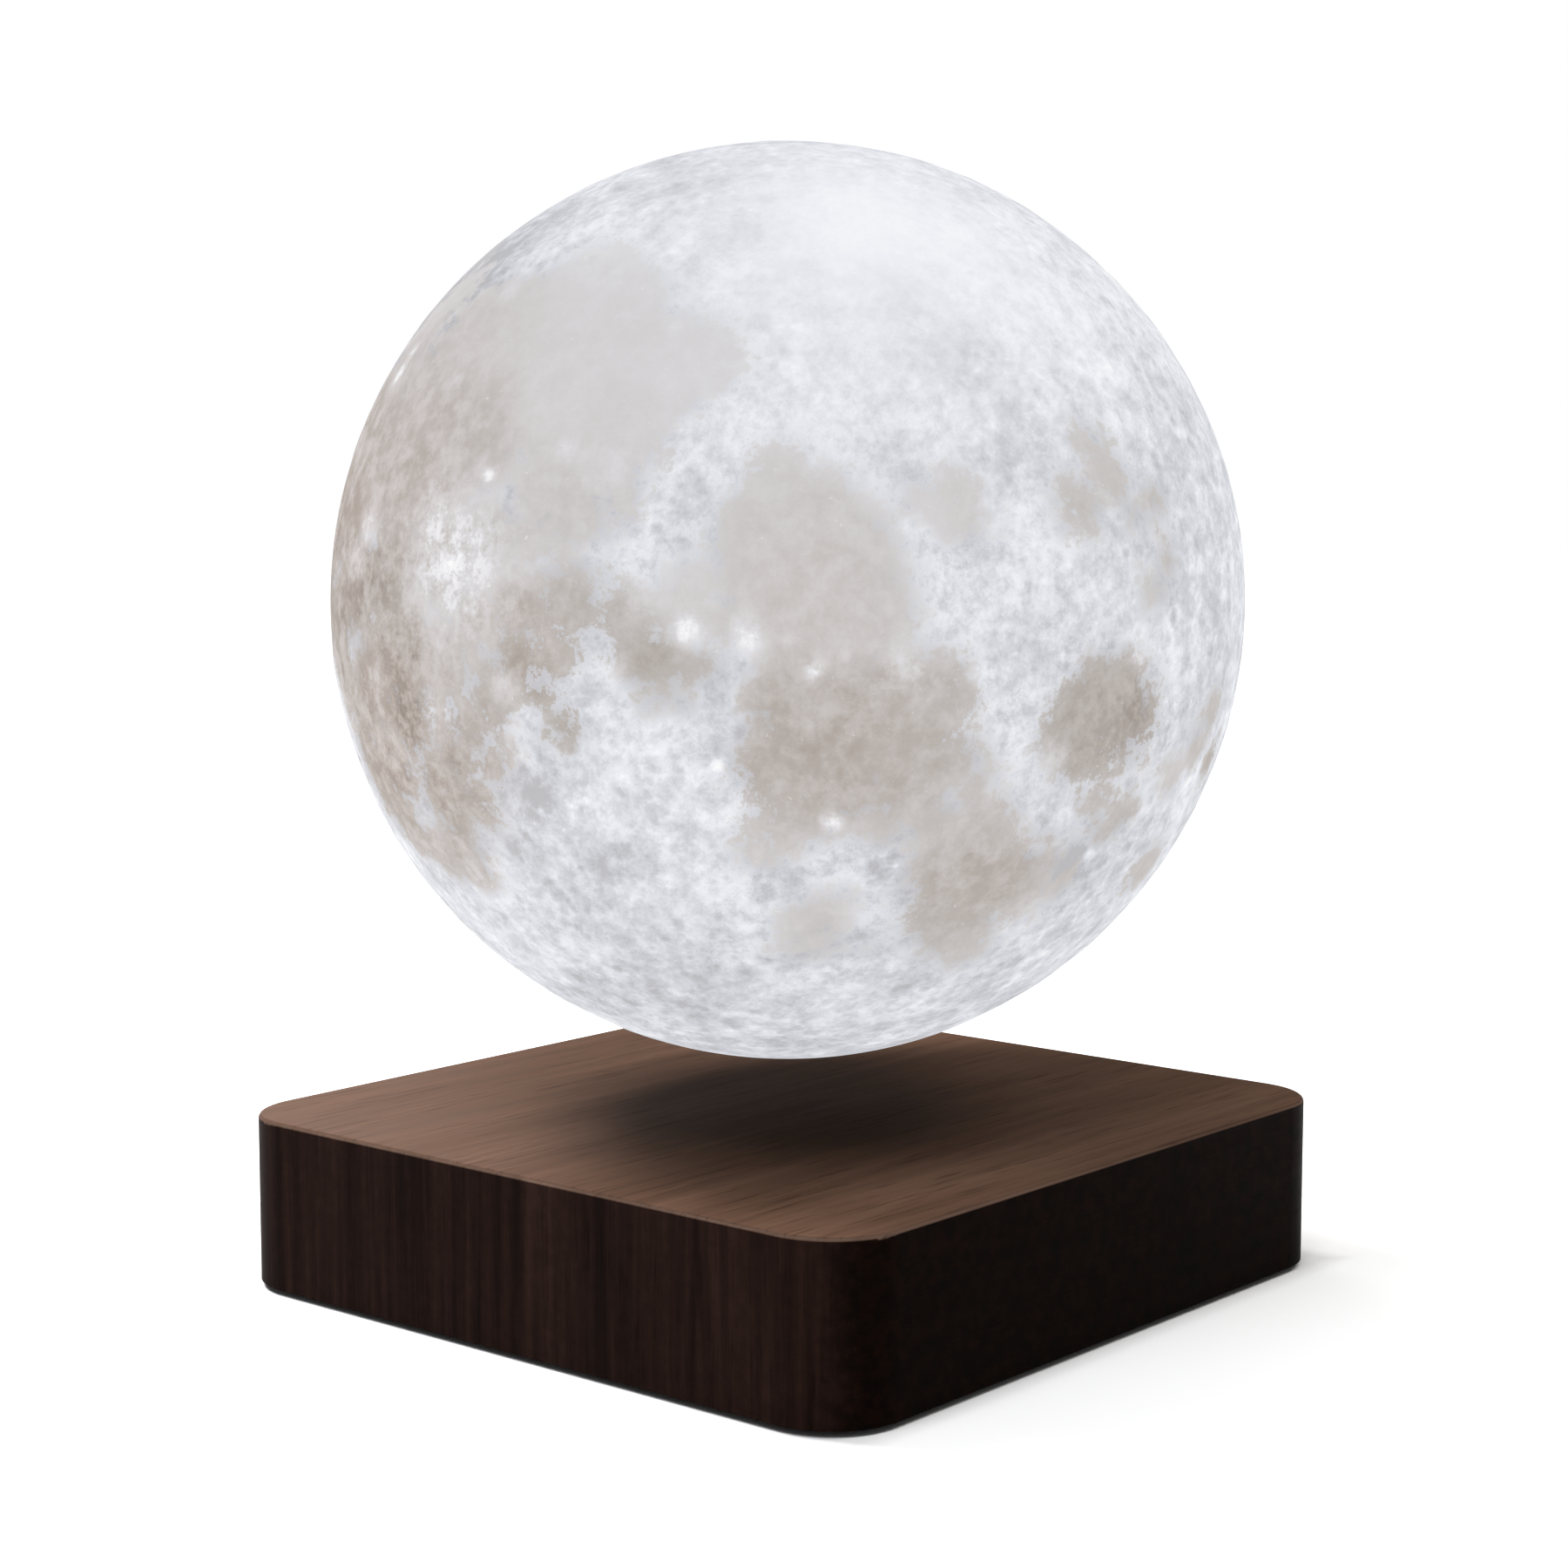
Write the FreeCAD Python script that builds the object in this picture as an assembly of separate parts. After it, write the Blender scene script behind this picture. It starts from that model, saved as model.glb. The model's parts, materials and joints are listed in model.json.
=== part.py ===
import FreeCAD, Part
import math
import os

from FreeCAD import Vector

# A moon lamp: a translucent printed globe that floats over a square wooden base.
# Sizes are in millimetres. The origin lies on the table under the middle of the base,
# +Z is up, the front is -Y and the supply socket opens at the back, +Y.

os.makedirs("parts", exist_ok=True)

UP = Vector(0, 0, 1)
BACK = Vector(0, 1, 0)
CORNERS = [(1, 1), (-1, 1), (-1, -1), (1, -1)]
HOOK_ANGLES = [0, 120, 240]
BOSS_ANGLES = [60, 180, 300]
CUT_SPARE = 1.0  # how far a cutting form runs past what it cuts
TINY = 1e-6

# ---- wooden housing
BASE_SIDE = 132.0
BASE_HEIGHT = 29.0  # table to the top face
BASE_CORNER_RADIUS = 12.5  # upright corners
TOP_EDGE_ROUND = 0.8
HOUSING_WALL = 6.0
HOUSING_CEILING = 3.5
COVER_RIM = 3.0  # wood that frames the bottom cover
SCREW_LAND = 4.5  # wood between a cover screw's middle and the cavity

# ---- bottom cover, its screws and the feet
COVER_THICKNESS = 2.0
COVER_CLEARANCE = 0.25
COVER_SCREW_INSET = 9.2
COVER_SCREW_DIAMETER = 2.8
COVER_SCREW_LENGTH = 12.0
COVER_SCREW_HEAD = 5.4
COVER_SCREW_HOLE = 3.4
FOOT_DIAMETER = 12.0
FOOT_THICKNESS = 2.0
FOOT_RECESS = 1.0
FOOT_INSET = 18.0
FOOT_CLEARANCE = 0.15
VENT_COUNT = 7
VENT_WIDTH = 2.4
VENT_LENGTH = 26.0
VENT_PITCH = 6.0

# ---- control board
BOARD_BOSS_HEIGHT = 3.0
BOARD_BOSS_DIAMETER = 7.0
BOARD_THICKNESS = 1.6
BOARD_MARGIN = 2.0  # board edge to cavity wall
BOARD_SCREW_DIAMETER = 2.6
BOARD_SCREW_HEAD = 5.0
BOARD_SCREW_HEAD_HEIGHT = 1.8
BOARD_SCREW_HOLE = 3.2
BOARD_SCREW_BITE = 2.4  # length that enters the cover's boss
PILOT_CLEARANCE = 0.05
PILOT_SPARE = 0.2  # depth left under a screw's end
CHIP_LENGTH = 10.0
CHIP_WIDTH = 7.5
CHIP_HEIGHT = 2.3
CHIP_SPREAD = 24.0
CONTROLLER_SIDE = 7.0
CONTROLLER_HEIGHT = 1.0
CONTROLLER_AT = -36.0
CAPACITOR_DIAMETER = 8.0
CAPACITOR_HEIGHT = 12.0
CAPACITOR_SPREAD = 34.0
CAPACITOR_INSET = 8.0  # from the board's back edge

# ---- supply socket
JACK_WIDTH = 9.0
JACK_LENGTH = 14.0
JACK_HEIGHT = 11.0
JACK_FACE = 3.5  # depth of the square front block
JACK_AXIS_HEIGHT = 6.5  # above the board
JACK_BORE = 6.2
JACK_BORE_DEPTH = 9.5
JACK_PIN_DIAMETER = 2.1
JACK_PIN_LENGTH = 8.5
JACK_CLEARANCE = 0.2
PLUG_HOLE = 11.0

# ---- levitation module
FRAME_PILLAR = 4.4
FRAME_PLATE = 2.0
FRAME_LIP = 1.6
FRAME_LIP_HEIGHT = 3.0
FRAME_CLEARANCE = 0.2
FRAME_CORNER_RADIUS = 8.0
FRAME_SCREW_REACH = 7.5  # from the trough's rim to the middle of a screw, on the diagonal
MAGNET_TO_JACK = 2.8
MAGNET_TO_COILS = 2.0
BOBBIN_FLANGE = 20.0
BOBBIN_BARREL = 8.0
BOBBIN_WALL = 0.9
BOBBIN_FLANGE_THICKNESS = 0.8
BOBBIN_GAP = 1.2
CORE_DIAMETER = 6.0
CORE_CLEARANCE = 0.1
WINDING_DIAMETER = 18.8
WINDING_CLEARANCE = 0.1
WIRE_WIDTH = 0.7
WIRE_CLEARANCE = 0.1
WIRE_ANGLE = 30.0
TRANSMITTER_THICKNESS = 1.8
TRANSMITTER_INNER_MARGIN = 3.0
TRANSMITTER_OUTER_MARGIN = 1.0
TRANSMITTER_CLEARANCE = 0.7  # to the housing's ceiling
LEAD_THICKNESS = 0.8
LEAD_WIDTH = 4.0
LEAD_BEND = 1.6  # outer radius of its bend
LEAD_TO_FRAME = 2.0
HALL_WIDTH = 4.1
HALL_DEPTH = 1.5
HALL_HEIGHT = 3.0
HALL_AT = 2.2
HALL_LEG = 0.4
HALL_LEG_PITCH = 1.27
HALL_TOP_CLEARANCE = 1.0
TOUCH_PAD_WIDTH = 24.0
TOUCH_PAD_DEPTH = 9.0
TOUCH_PAD_THICKNESS = 0.3
TOUCH_LEAD_DIAMETER = 1.0

# ---- floating globe
MOON_DIAMETER = 150.0
MOON_WALL = 1.8
FLOAT_GAP = 9.0  # base top to the globe's lowest point
COLLAR_HEIGHT = 5.0
COLLAR_WALL = 2.6
COLLAR_CLEARANCE = 0.2

# ---- cup that carries the floating magnet
CUP_WALL = 2.0
FLANGE_THICKNESS = 2.0
FLANGE_LEDGE = 2.0
FLANGE_CLEARANCE = 0.2
NECK_WALL = 1.6
MAGNET_DIAMETER = 40.0
MAGNET_THICKNESS = 8.0
MAGNET_CLEARANCE = 0.3
SEAT_WIDTH = 4.0
POCKET_WALL = 1.3
POCKET_HEIGHT = 4.0
HOOK_ANGLE = 24.0
HOOK_REACH = 1.3
HOOK_HEIGHT = 1.9
HOOK_FLAT = 0.4
HOOK_CLEARANCE = 0.2
HOOK_SLOT_ANGLE = 3.0
HOOK_FOOT = 0.8
BOSS_RADIUS = 1.9
BOSS_INSET = 0.3  # from the neck's outer face
RECEIVER_COIL_WIDTH = 2.1
RECEIVER_COIL_HEIGHT = 2.4
RECEIVER_COIL_CLEARANCE = 0.3
BOSS_TO_COIL = 0.1

# ---- board carrier and light board
CARRIER_THICKNESS = 2.0
CARRIER_HOLE = 20.0
CARRIER_NOTCH_ANGLE = 30.0
CARRIER_NOTCH_DEPTH = 0.4
CARRIER_PILLAR_HEIGHT = 5.0
CUP_SCREW_DIAMETER = 1.7
CUP_SCREW_HOLE = 2.0
CUP_SCREW_HEAD = 3.2
CUP_SCREW_HEAD_HEIGHT = 1.2
CUP_SCREW_BITE = 4.0
LIGHT_BOARD_THICKNESS = 1.2
LIGHT_COUNT = 9
LIGHT_RING = 16.0
LIGHT_LENGTH = 3.5
LIGHT_WIDTH = 2.8
LIGHT_HEIGHT = 0.8
RECTIFIER_LENGTH = 6.5
RECTIFIER_WIDTH = 4.5
RECTIFIER_HEIGHT = 2.4
RECTIFIER_AT = 8.0
RECEIVER_LEAD_WIDTH = 0.8
RECEIVER_LEAD_SLOT = 1.6
RECEIVER_LEAD_SPREAD = 10.0  # degrees to each side of its own direction

# ---- heights and places that follow, base
cover_bottom = FOOT_THICKNESS - FOOT_RECESS
cover_top = cover_bottom + COVER_THICKNESS
board_bottom = cover_top + BOARD_BOSS_HEIGHT
board_top = board_bottom + BOARD_THICKNESS
plate_bottom = board_top + FRAME_PILLAR
plate_top = plate_bottom + FRAME_PLATE
ceiling = BASE_HEIGHT - HOUSING_CEILING
module_top = ceiling - TRANSMITTER_CLEARANCE - TRANSMITTER_THICKNESS
module_height = module_top - plate_top

cavity_side = BASE_SIDE - 2 * HOUSING_WALL
cavity_half = cavity_side / 2
cover_screw_at = BASE_SIDE / 2 - COVER_SCREW_INSET
cavity_corner = (SCREW_LAND + math.sqrt(2) * (cavity_half - cover_screw_at)) / (math.sqrt(2) - 1)
foot_at = BASE_SIDE / 2 - FOOT_INSET
board_half = cavity_half - BOARD_MARGIN

bobbin_radius = BOBBIN_FLANGE / 2
coil_at = (BOBBIN_FLANGE + BOBBIN_GAP) / math.sqrt(2)
ring_inner = coil_at + bobbin_radius + MAGNET_TO_COILS
ring_outer = cavity_half - JACK_CLEARANCE - JACK_LENGTH - MAGNET_TO_JACK
frame_radius = ring_outer + FRAME_CLEARANCE + FRAME_LIP
frame_screw_at = (frame_radius + FRAME_SCREW_REACH) / math.sqrt(2)
jack_axis = board_top + JACK_AXIS_HEIGHT
wire_at = WINDING_DIAMETER / 2 + WIRE_CLEARANCE + WIRE_WIDTH / 2
touch_at = -(frame_radius + cavity_half) / 2

# ---- heights and places that follow, globe
moon_radius = MOON_DIAMETER / 2
pole = BASE_HEIGHT + FLOAT_GAP
moon_centre = pole + moon_radius
magnet_radius = MAGNET_DIAMETER / 2
pocket_radius = magnet_radius + MAGNET_CLEARANCE
pocket_outer = pocket_radius + POCKET_WALL
receiver_inner = pocket_outer + RECEIVER_COIL_CLEARANCE
receiver_outer = receiver_inner + RECEIVER_COIL_WIDTH
boss_at = receiver_outer + BOSS_TO_COIL + BOSS_RADIUS
neck_outer = boss_at + BOSS_RADIUS + BOSS_INSET
neck_inner = neck_outer - NECK_WALL
collar_inner = neck_outer + COLLAR_CLEARANCE
opening_radius = collar_inner + FLANGE_LEDGE


def sphere_height(radius, ball_radius):
    """Height of a ball's lower surface at a distance from the upright axis."""
    return moon_centre - math.sqrt(ball_radius ** 2 - radius ** 2)


flange_top = sphere_height(opening_radius, moon_radius) + FLANGE_THICKNESS
collar_top = flange_top + COLLAR_HEIGHT
magnet_seat = sphere_height(pocket_radius, moon_radius) + CUP_WALL
magnet_bottom = magnet_seat + MAGNET_CLEARANCE
magnet_top = magnet_bottom + MAGNET_THICKNESS
receiver_seat = sphere_height(neck_inner, moon_radius) + CUP_WALL
receiver_top = receiver_seat + RECEIVER_COIL_HEIGHT
carrier_bottom = magnet_top + MAGNET_CLEARANCE
carrier_top = carrier_bottom + CARRIER_THICKNESS
light_board_bottom = carrier_top + CARRIER_PILLAR_HEIGHT
light_board_top = light_board_bottom + LIGHT_BOARD_THICKNESS
receiver_lead_at = (receiver_inner + receiver_outer) / 2


# ---- simple forms


def disc(radius, bottom, height, x=0.0, y=0.0):
    return Part.makeCylinder(radius, height, Vector(x, y, bottom), UP)


def ring(outer, inner, bottom, height, x=0.0, y=0.0):
    return disc(outer, bottom, height, x, y).cut(disc(inner, bottom, height, x, y))


def block(length, width, height, x, y, bottom):
    """A box centred on x and y that stands on bottom."""
    return Part.makeBox(length, width, height, Vector(x - length / 2, y - width / 2, bottom))


def ball(radius, axis=UP):
    """A ball about the globe's middle; the axis says where its poles and seam lie."""
    return Part.makeSphere(radius, Vector(0, 0, moon_centre), axis)


def rounded_square(side, corner, bottom, height):
    """An upright block with a square outline whose corners are arcs."""
    half = side / 2
    mid = corner * (1 - math.sqrt(0.5))
    edges = []
    for turn in range(4):
        spin = FreeCAD.Rotation(UP, 90.0 * turn)
        start = spin.multVec(Vector(half, corner - half, bottom))
        stop = spin.multVec(Vector(half, half - corner, bottom))
        bend = spin.multVec(Vector(half - mid, half - mid, bottom))
        end = spin.multVec(Vector(half - corner, half, bottom))
        edges.append(Part.makeLine(start, stop))
        edges.append(Part.Arc(stop, bend, end).toShape())
    return Part.Face(Part.Wire(edges)).extrude(Vector(0, 0, height))


def revolved(profile, angle=360.0):
    """A closed outline of (radius, height) points turned about the upright axis."""
    points = [Vector(radius, 0, height) for radius, height in profile]
    face = Part.Face(Part.makePolygon(points + [points[0]]))
    return face.revolve(Vector(0, 0, 0), UP, angle)


def turned(shape, angle):
    """A copy turned about the upright axis through the origin."""
    copy = shape.copy()
    copy.rotate(Vector(0, 0, 0), UP, angle)
    return copy


def fused(shapes):
    return shapes[0].multiFuse(shapes[1:]).removeSplitter()


def polar(radius, angle):
    return radius * math.cos(math.radians(angle)), radius * math.sin(math.radians(angle))


def at_corners(shape_at, distance):
    """One shape at each corner of a square that reaches distance to each side."""
    return [shape_at(sx * distance, sy * distance) for sx, sy in CORNERS]


# ---- wooden base


def base_housing():
    """Hollow walnut block, open below, with a rebate for the cover and a hole for the plug."""
    body = rounded_square(BASE_SIDE, BASE_CORNER_RADIUS, cover_bottom, BASE_HEIGHT - cover_bottom)
    top_edges = [e for e in body.Edges if e.BoundBox.ZMin > BASE_HEIGHT - TINY]
    body = body.makeFillet(TOP_EDGE_ROUND, top_edges)
    cavity = rounded_square(cavity_side, cavity_corner, cover_bottom, ceiling - cover_bottom)
    rebate = rounded_square(
        BASE_SIDE - 2 * COVER_RIM, BASE_CORNER_RADIUS - COVER_RIM, cover_bottom, COVER_THICKNESS
    )
    plug_way = Part.makeCylinder(
        PLUG_HOLE / 2, 2 * HOUSING_WALL, Vector(0, cavity_half - HOUSING_WALL / 2, jack_axis), BACK
    )
    pilot_depth = COVER_SCREW_LENGTH + PILOT_SPARE
    pilot_radius = COVER_SCREW_DIAMETER / 2 + PILOT_CLEARANCE
    pilots = at_corners(lambda x, y: disc(pilot_radius, cover_bottom, pilot_depth, x, y), cover_screw_at)
    return body.cut([cavity, rebate, plug_way] + pilots)


def countersunk(x, y, radius, head_radius, length, bottom):
    """A countersunk screw, point up, or with wider radii the hole that it passes."""
    drop = head_radius - radius
    head = Part.makeCone(head_radius, radius, drop, Vector(x, y, bottom), UP)
    return head.fuse(disc(radius, bottom, length, x, y)).removeSplitter()


def bottom_cover():
    """Moulded cover in the housing's rebate, with board bosses above and foot recesses below."""
    side = BASE_SIDE - 2 * COVER_RIM - 2 * COVER_CLEARANCE
    corner = BASE_CORNER_RADIUS - COVER_RIM - COVER_CLEARANCE
    plate = rounded_square(side, corner, cover_bottom, COVER_THICKNESS)
    boss_radius = BOARD_BOSS_DIAMETER / 2
    bosses = at_corners(lambda x, y: disc(boss_radius, cover_top, BOARD_BOSS_HEIGHT, x, y), frame_screw_at)
    cuts = at_corners(
        lambda x, y: disc(FOOT_DIAMETER / 2 + FOOT_CLEARANCE, cover_bottom, FOOT_RECESS, x, y), foot_at
    )
    hole_radius = COVER_SCREW_HOLE / 2
    grow = (COVER_SCREW_HOLE - COVER_SCREW_DIAMETER) / 2
    cuts += at_corners(
        lambda x, y: countersunk(
            x, y, hole_radius, COVER_SCREW_HEAD / 2 + grow, COVER_THICKNESS, cover_bottom
        ),
        cover_screw_at,
    )
    pilot_depth = BOARD_SCREW_BITE + PILOT_SPARE
    pilot_radius = BOARD_SCREW_DIAMETER / 2 + PILOT_CLEARANCE
    cuts += at_corners(
        lambda x, y: disc(pilot_radius, board_bottom - pilot_depth, pilot_depth, x, y), frame_screw_at
    )
    for slot in range(VENT_COUNT):
        y = (slot - (VENT_COUNT - 1) / 2) * VENT_PITCH
        cuts.append(block(VENT_LENGTH, VENT_WIDTH, COVER_THICKNESS, 0, y, cover_bottom))
    return fused([plate] + bosses).cut(cuts)


def rubber_feet():
    feet = at_corners(lambda x, y: disc(FOOT_DIAMETER / 2, 0, FOOT_THICKNESS, x, y), foot_at)
    return Part.makeCompound(feet)


def cover_screws():
    radius = COVER_SCREW_DIAMETER / 2
    head_radius = COVER_SCREW_HEAD / 2
    screws = at_corners(
        lambda x, y: countersunk(x, y, radius, head_radius, COVER_SCREW_LENGTH, cover_bottom),
        cover_screw_at,
    )
    return Part.makeCompound(screws)


# ---- control board


def control_board():
    board = rounded_square(2 * board_half, cavity_corner - BOARD_MARGIN, board_bottom, BOARD_THICKNESS)
    holes = at_corners(
        lambda x, y: disc(BOARD_SCREW_HOLE / 2, board_bottom, BOARD_THICKNESS, x, y), frame_screw_at
    )
    return board.cut(holes)


def board_screws():
    """Pan-head screws that hold the frame and the board to the cover's bosses."""
    bottom = board_bottom - BOARD_SCREW_BITE

    def screw(x, y):
        shank = disc(BOARD_SCREW_DIAMETER / 2, bottom, plate_top - bottom, x, y)
        head = disc(BOARD_SCREW_HEAD / 2, plate_top, BOARD_SCREW_HEAD_HEIGHT, x, y)
        return shank.fuse(head)

    return Part.makeCompound(at_corners(screw, frame_screw_at))


def driver_chips():
    """Four coil drivers and the controller."""
    chips = at_corners(
        lambda x, y: block(CHIP_LENGTH, CHIP_WIDTH, CHIP_HEIGHT, x, y, board_top), CHIP_SPREAD
    )
    chips.append(block(CONTROLLER_SIDE, CONTROLLER_SIDE, CONTROLLER_HEIGHT, 0, CONTROLLER_AT, board_top))
    return Part.makeCompound(chips)


def capacitors():
    y = board_half - CAPACITOR_INSET
    radius = CAPACITOR_DIAMETER / 2
    cans = [disc(radius, board_top, CAPACITOR_HEIGHT, x, y) for x in (-CAPACITOR_SPREAD, CAPACITOR_SPREAD)]
    return Part.makeCompound(cans)


def dc_jack():
    """Supply socket: square face block, half-round barrel behind it and a blind bore."""
    face_at = cavity_half - JACK_CLEARANCE
    barrel_length = JACK_LENGTH - JACK_FACE
    face = block(JACK_WIDTH, JACK_FACE, JACK_HEIGHT, 0, face_at - JACK_FACE / 2, board_top)
    back = face_at - JACK_LENGTH
    foot = block(JACK_WIDTH, barrel_length, JACK_AXIS_HEIGHT, 0, back + barrel_length / 2, board_top)
    barrel_radius = min(JACK_WIDTH / 2, JACK_HEIGHT - JACK_AXIS_HEIGHT)
    barrel = Part.makeCylinder(barrel_radius, barrel_length, Vector(0, back, jack_axis), BACK)
    bore = Part.makeCylinder(
        JACK_BORE / 2, JACK_BORE_DEPTH, Vector(0, face_at - JACK_BORE_DEPTH, jack_axis), BACK
    )
    return fused([face, foot, barrel]).cut(bore)


def jack_pin():
    start = cavity_half - JACK_CLEARANCE - JACK_BORE_DEPTH
    return Part.makeCylinder(JACK_PIN_DIAMETER / 2, JACK_PIN_LENGTH, Vector(0, start, jack_axis), BACK)


def touch_pad():
    """Copper foil under the top that feels a finger through the wood."""
    return block(
        TOUCH_PAD_WIDTH, TOUCH_PAD_DEPTH, TOUCH_PAD_THICKNESS, 0, touch_at, ceiling - TOUCH_PAD_THICKNESS
    )


def touch_lead():
    height = ceiling - TOUCH_PAD_THICKNESS - board_top
    return disc(TOUCH_LEAD_DIAMETER / 2, board_top, height, 0, touch_at)


# ---- levitation module


def coil_places():
    """Middle of each electromagnet and the direction in which it lies."""
    return [(polar(coil_at, angle), angle) for angle in (0, 90, 180, 270)]


def wire_bars(width, bottom, height):
    """A square bar of the given width where each end of each winding goes down to the board."""
    bars = []
    for (x, y), angle in coil_places():
        for side in (-WIRE_ANGLE, WIRE_ANGLE):
            bar = turned(block(width, width, height, wire_at, 0, bottom), angle + side)
            bar.translate(Vector(x, y, 0))
            bars.append(bar)
    return bars


def module_frame():
    """Square carrier plate with a round lip for the ring magnet and four legs on the board."""
    plate = rounded_square(2 * frame_radius, FRAME_CORNER_RADIUS, plate_bottom, FRAME_PLATE)
    lip = ring(frame_radius, frame_radius - FRAME_LIP, plate_top, FRAME_LIP_HEIGHT)
    leg_radius = BOARD_BOSS_DIAMETER / 2
    legs = at_corners(lambda x, y: disc(leg_radius, board_top, FRAME_PILLAR, x, y), frame_screw_at)
    hole_radius = BOARD_SCREW_HOLE / 2
    cuts = at_corners(
        lambda x, y: disc(hole_radius, board_top, plate_top - board_top, x, y), frame_screw_at
    )
    cuts.append(disc(coil_at - bobbin_radius - FRAME_CLEARANCE, plate_bottom, FRAME_PLATE))
    for (x, y), _ in coil_places():
        cuts.append(disc(CORE_DIAMETER / 2 + CORE_CLEARANCE, plate_bottom, FRAME_PLATE, x, y))
    cuts += wire_bars(WIRE_WIDTH + 2 * WIRE_CLEARANCE, plate_bottom, FRAME_PLATE)
    return fused([plate, lip] + legs).cut(cuts)


def ring_magnet():
    return ring(ring_outer, ring_inner, plate_top, module_height)


def coil_bobbins():
    notches = wire_bars(WIRE_WIDTH + 2 * WIRE_CLEARANCE, plate_top, BOBBIN_FLANGE_THICKNESS)
    bobbins = []
    for (x, y), _ in coil_places():
        barrel = disc(BOBBIN_BARREL / 2, plate_top, module_height, x, y)
        low = disc(bobbin_radius, plate_top, BOBBIN_FLANGE_THICKNESS, x, y)
        high_at = module_top - BOBBIN_FLANGE_THICKNESS
        high = disc(bobbin_radius, high_at, BOBBIN_FLANGE_THICKNESS, x, y)
        bore = disc(BOBBIN_BARREL / 2 - BOBBIN_WALL, plate_top, module_height, x, y)
        bobbins.append(fused([barrel, low, high]).cut([bore] + notches))
    return Part.makeCompound(bobbins)


def coil_windings():
    bottom = plate_top + BOBBIN_FLANGE_THICKNESS
    height = module_height - 2 * BOBBIN_FLANGE_THICKNESS
    inner = BOBBIN_BARREL / 2 + WINDING_CLEARANCE
    windings = [ring(WINDING_DIAMETER / 2, inner, bottom, height, x, y) for (x, y), _ in coil_places()]
    return Part.makeCompound(windings)


def coil_leads():
    """Both ends of each winding, straight down past the flange and the frame to the board."""
    top = (plate_top + module_top) / 2
    return Part.makeCompound(wire_bars(WIRE_WIDTH, board_top, top - board_top))


def coil_cores():
    radius = min(CORE_DIAMETER / 2, BOBBIN_BARREL / 2 - BOBBIN_WALL - CORE_CLEARANCE)
    cores = []
    for (x, y), _ in coil_places():
        cores.append(disc(radius, plate_bottom, module_top - plate_bottom, x, y))
    return Part.makeCompound(cores)


def transmitter_coil():
    return ring(
        ring_outer - TRANSMITTER_OUTER_MARGIN,
        ring_inner + TRANSMITTER_INNER_MARGIN,
        module_top,
        TRANSMITTER_THICKNESS,
    )


def transmitter_lead():
    """Flat twin lead out over the frame's rim on the left, round a bend and down to the board."""
    start = -(ring_outer - TRANSMITTER_OUTER_MARGIN) - WINDING_CLEARANCE
    outer = -(frame_radius + LEAD_TO_FRAME + LEAD_THICKNESS)
    inner = outer + LEAD_THICKNESS
    top = module_top + TRANSMITTER_THICKNESS
    under = top - LEAD_THICKNESS
    side = -LEAD_WIDTH / 2
    diagonal = math.sqrt(0.5)
    bend_x = outer + LEAD_BEND
    bend_z = top - LEAD_BEND
    small = LEAD_BEND - LEAD_THICKNESS

    def point(x, z):
        return Vector(x, side, z)

    edges = [
        Part.makeLine(point(start, under), point(start, top)),
        Part.makeLine(point(start, top), point(bend_x, top)),
        Part.Arc(
            point(bend_x, top),
            point(bend_x - LEAD_BEND * diagonal, bend_z + LEAD_BEND * diagonal),
            point(outer, bend_z),
        ).toShape(),
        Part.makeLine(point(outer, bend_z), point(outer, board_top)),
        Part.makeLine(point(outer, board_top), point(inner, board_top)),
        Part.makeLine(point(inner, board_top), point(inner, bend_z)),
        Part.Arc(
            point(inner, bend_z),
            point(bend_x - small * diagonal, bend_z + small * diagonal),
            point(bend_x, under),
        ).toShape(),
        Part.makeLine(point(bend_x, under), point(start, under)),
    ]
    return Part.Face(Part.Wire(edges)).extrude(Vector(0, LEAD_WIDTH, 0))


def hall_sensors():
    """Three flat sensors on their legs between the coils."""
    body_bottom = module_top - HALL_TOP_CLEARANCE - HALL_HEIGHT
    sensors = []
    for turn in range(3):
        parts = [block(HALL_DEPTH, HALL_WIDTH, HALL_HEIGHT, HALL_AT, 0, body_bottom)]
        for leg in (-HALL_LEG_PITCH, 0.0, HALL_LEG_PITCH):
            parts.append(block(HALL_LEG, HALL_LEG, body_bottom - board_top, HALL_AT, leg, board_top))
        sensors.append(turned(fused(parts), 120 * turn))
    return Part.makeCompound(sensors)


# ---- floating globe


def moon_shell():
    """One-piece globe with a round opening below and a collar that the cup snaps over."""
    low = pole - CUT_SPARE
    collar = disc(collar_inner + COLLAR_WALL, low, collar_top - low)
    hollow = ball(moon_radius - MOON_WALL).cut(collar)
    bore = disc(collar_inner, low, collar_top - low)
    rebate = disc(opening_radius, low, flange_top - low)
    return ball(moon_radius).cut([hollow, bore, rebate])


def hook_leg():
    """One snap leg of the cup, drawn as a section and turned through its own width."""
    hook_bottom = collar_top + HOOK_CLEARANCE
    hook_top = hook_bottom + HOOK_HEIGHT
    section = [
        (neck_inner, flange_top),
        (neck_outer, flange_top),
        (neck_outer, hook_bottom),
        (neck_outer + HOOK_REACH, hook_bottom),
        (neck_outer + HOOK_REACH, hook_bottom + HOOK_FLAT),
        (neck_outer - NECK_WALL / 4, hook_top),
        (neck_inner, hook_top),
    ]
    return turned(revolved(section, HOOK_ANGLE), -HOOK_ANGLE / 2)


def sector(inner, outer, bottom, height, angle):
    """Part of a ring, centred on the +X direction."""
    section = [(inner, bottom), (outer, bottom), (outer, bottom + height), (inner, bottom + height)]
    return turned(revolved(section, angle), -angle / 2)


def cup_screw_places():
    return [polar(boss_at, angle) for angle in BOSS_ANGLES]


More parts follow.
